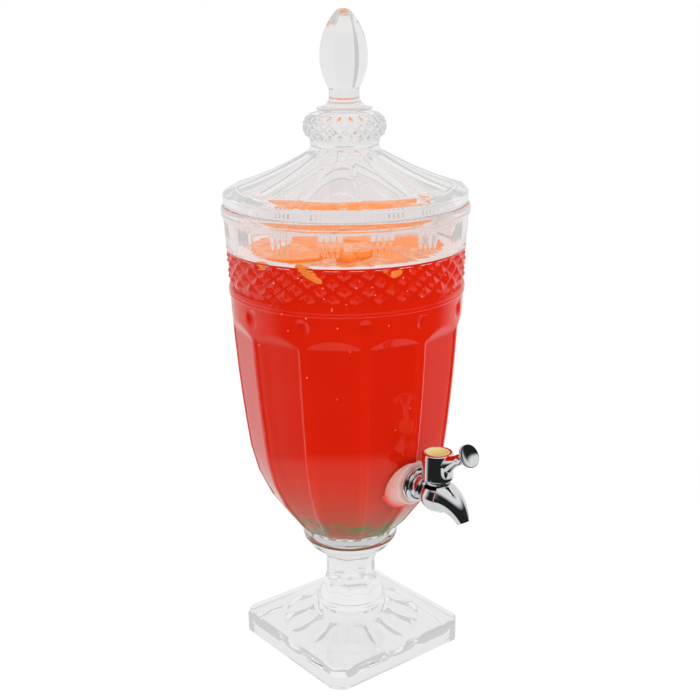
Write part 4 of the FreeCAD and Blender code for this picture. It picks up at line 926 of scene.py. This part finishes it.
glass = pressed_glass("pressed_soda_lime_glass", "#E4DED8")
filled_glass = pressed_glass("pressed_glass_round_the_drink", "#ECC8AE", "#FFF5F3")
finishes = {
    "clear_glass": glass, "clear_bond": glass, "chrome": chrome(), "gold": gold(),
    "soft_washer": plain("translucent_silicone", "#D2D2CC", "#DEDED8", 0.4),
    "seal_rubber": plain("black_nitrile", "#0E0E0E", "#161616", 0.5),
    "nylon": plain("natural_nylon", "#E6E6DE", "#EEEEE8", 0.4),
    "brass": plain("turned_brass", "#C0923F", "#D0A052", 0.3, 1.0),
    "steel": plain("plain_stainless", "#989898", "#A8A8A8", 0.3, 1.0),
}
for part in frame["record"]["subparts"]:
    if part["node"] not in ("bowl", "lid", "pedestal"):
        dressed(part["node"], finishes[part["material_slot"]])
make_bowl(filled_glass, ground_glass(), boss_glass_with_painted_light())
make_pedestal(glass)
make_lid(glass)
make_drink(fruit_drink())
make_fruit(orange_flesh())
# The bubbles are opaque and nearly white: a painted highlight for the light that air bubbles throw back.
make_bubbles(plain("bubbles_with_painted_sparkle", "#FFE8DC", "#FFFFFF", 0.1))


# Studio

DARK_SIDE = (-0.375, -0.927, 0.0)       # towards the dark part of the room
BACKDROP_SIDE = (0.62, 0.784, 0.0)      # towards the lit backdrop behind the object


def studio_view(tree, direction, near=None):
    """How bright the studio looks in this direction to a ray off glass or metal, or through glass,
    and whether the ray is one of these. Outside faces mirror a dark room in front of the object,
    past the near edge of a white table, and white at its sides and behind it. Faces inside glass
    mirror the same room more softly, and what shows through glass is the lit backdrop, which is
    greyer towards its sides."""
    path = add_node(tree, "ShaderNodeLightPath")

    def past(depth):
        return Field(tree, path.outputs[depth]).math("GREATER_THAN", 0.5)

    front = add_node(tree, "ShaderNodeVectorMath", {"operation": "DOT_PRODUCT"},
                     {0: direction, 1: DARK_SIDE})
    facing = Field(tree, front.outputs["Value"])
    outside = 0.88 - facing.fade(-0.3, 0.28) * 0.86
    overhead = add_node(tree, "ShaderNodeSeparateXYZ", inputs={0: direction}).outputs["Z"]
    outside = outside.at_least(Field(tree, overhead).fade(0.35, 0.75) * 0.9)
    if near:
        outside = outside.at_least(near * 0.85)
    inside = outside * 0.45 + 0.47
    mirrored = outside + past("Transmission Depth") * (inside - outside)
    behind = add_node(tree, "ShaderNodeVectorMath", {"operation": "DOT_PRODUCT"},
                      {0: direction, 1: BACKDROP_SIDE})
    backdrop = Field(tree, behind.outputs["Value"]).fade(-0.2, 0.55)
    if near:
        backdrop = backdrop.at_least(near)
    through = backdrop * 0.4 + 0.4
    level = past("Glossy Depth") * (mirrored - through) + through
    seen = Field(tree, path.outputs["Is Glossy Ray"]).at_least(
        Field(tree, path.outputs["Is Transmission Ray"])) * (1 - past("Diffuse Depth"))
    return level, seen, Field(tree, path.outputs["Is Camera Ray"])


def make_floor():
    """A plain pale floor that runs into the white backdrop and keeps the object's soft shadow."""
    mesh = bpy.data.meshes.new("floor")
    half = 30
    mesh.from_pydata([(-half, -half, 0), (half, -half, 0), (half, half, 0), (-half, half, 0)], [],
                     [(0, 1, 2, 3)])
    floor = new_piece("floor", mesh)
    floor.location.z = -0.2 * MM
    material, tree = new_material("white_studio_floor")
    place = add_node(tree, "ShaderNodeTexCoord").outputs["Object"]
    away = add_node(tree, "ShaderNodeVectorMath", {"operation": "LENGTH"}, {0: place})
    away = Field(tree, away.outputs["Value"])
    direction = add_node(tree, "ShaderNodeVectorMath", {"operation": "NORMALIZE"}, {0: place})
    level, seen, camera_ray = studio_view(tree, direction.outputs[0], 1 - away.fade(0.31, 0.37))
    matt = add_node(tree, "ShaderNodeBsdfDiffuse", inputs={"Color": linear("#F4F4F4")}).outputs[0]
    surface = blended(tree, seen, matt, glow(tree, "ShaderNodeEmission", level))
    backdrop = camera_ray * (0.82 + away.fade(0.15, 0.55) * 0.18)
    surface = blended(tree, backdrop, surface, glow(tree, "ShaderNodeEmission", 1.0))
    finish_material(tree, surface)
    mesh.materials.append(material)


def make_world():
    """White backdrop for the eye, the studio for glass and metal, and plain light for the rest."""
    world = bpy.data.worlds.new("studio")
    bpy.context.scene.world = world
    world.use_nodes = True
    tree = world.node_tree
    tree.nodes.clear()
    where = add_node(tree, "ShaderNodeTexCoord").outputs["Generated"]
    level, seen, camera_ray = studio_view(tree, where)
    light = blended(tree, seen, glow(tree, "ShaderNodeBackground", 1.36),
                    glow(tree, "ShaderNodeBackground", level))
    light = blended(tree, camera_ray, light, glow(tree, "ShaderNodeBackground", 1.0))
    add_node(tree, "ShaderNodeOutputWorld", inputs={"Surface": light})


def area_lamp(name, place, size, power):
    lamp = bpy.data.lights.new(name, "AREA")
    lamp.shape = "RECTANGLE"
    lamp.size, lamp.size_y = size
    lamp.energy = power
    holder = new_piece(name, lamp)
    holder.location = place
    aim = Vector((0, 0, 0.25)) - Vector(place)
    holder.rotation_euler = aim.to_track_quat("-Z", "Y").to_euler()
    holder.visible_glossy = False
    holder.visible_transmission = False


def make_camera():
    """The photograph's view, found by fitting the object's outline."""
    turn, pitch, roll = (math.radians(angle) for angle in (38.35, 16.92, -0.77))
    right = Vector((math.cos(turn), -math.sin(turn), 0))
    away = Vector((math.sin(turn), math.cos(turn), 0))
    forward = away * math.cos(pitch) - Vector((0, 0, 1)) * math.sin(pitch)
    up = right.cross(forward)
    image_right = right * math.cos(roll) + up * math.sin(roll)
    image_up = up * math.cos(roll) - right * math.sin(roll)
    place = right * 0.001907 - away * 0.917391 + Vector((0, 0, 0.544816))
    camera = bpy.data.cameras.new("camera")
    camera.lens = 58.93
    camera.sensor_width = 36
    holder = new_piece("camera", camera)
    matrix = Matrix((image_right, image_up, -forward)).transposed().to_4x4()
    matrix.translation = place
    holder.matrix_world = matrix
    bpy.context.scene.camera = holder


make_floor()
make_world()
area_lamp("front_softbox", (-0.45, -1.6, 1.25), (2.4, 0.5), 12)
area_lamp("right_softbox", (1.6, -0.7, 0.8), (0.9, 0.9), 7)
area_lamp("left_softbox", (-1.7, -0.1, 0.7), (0.9, 0.9), 4)
make_camera()
bpy.context.scene.view_settings.view_transform = "Standard"
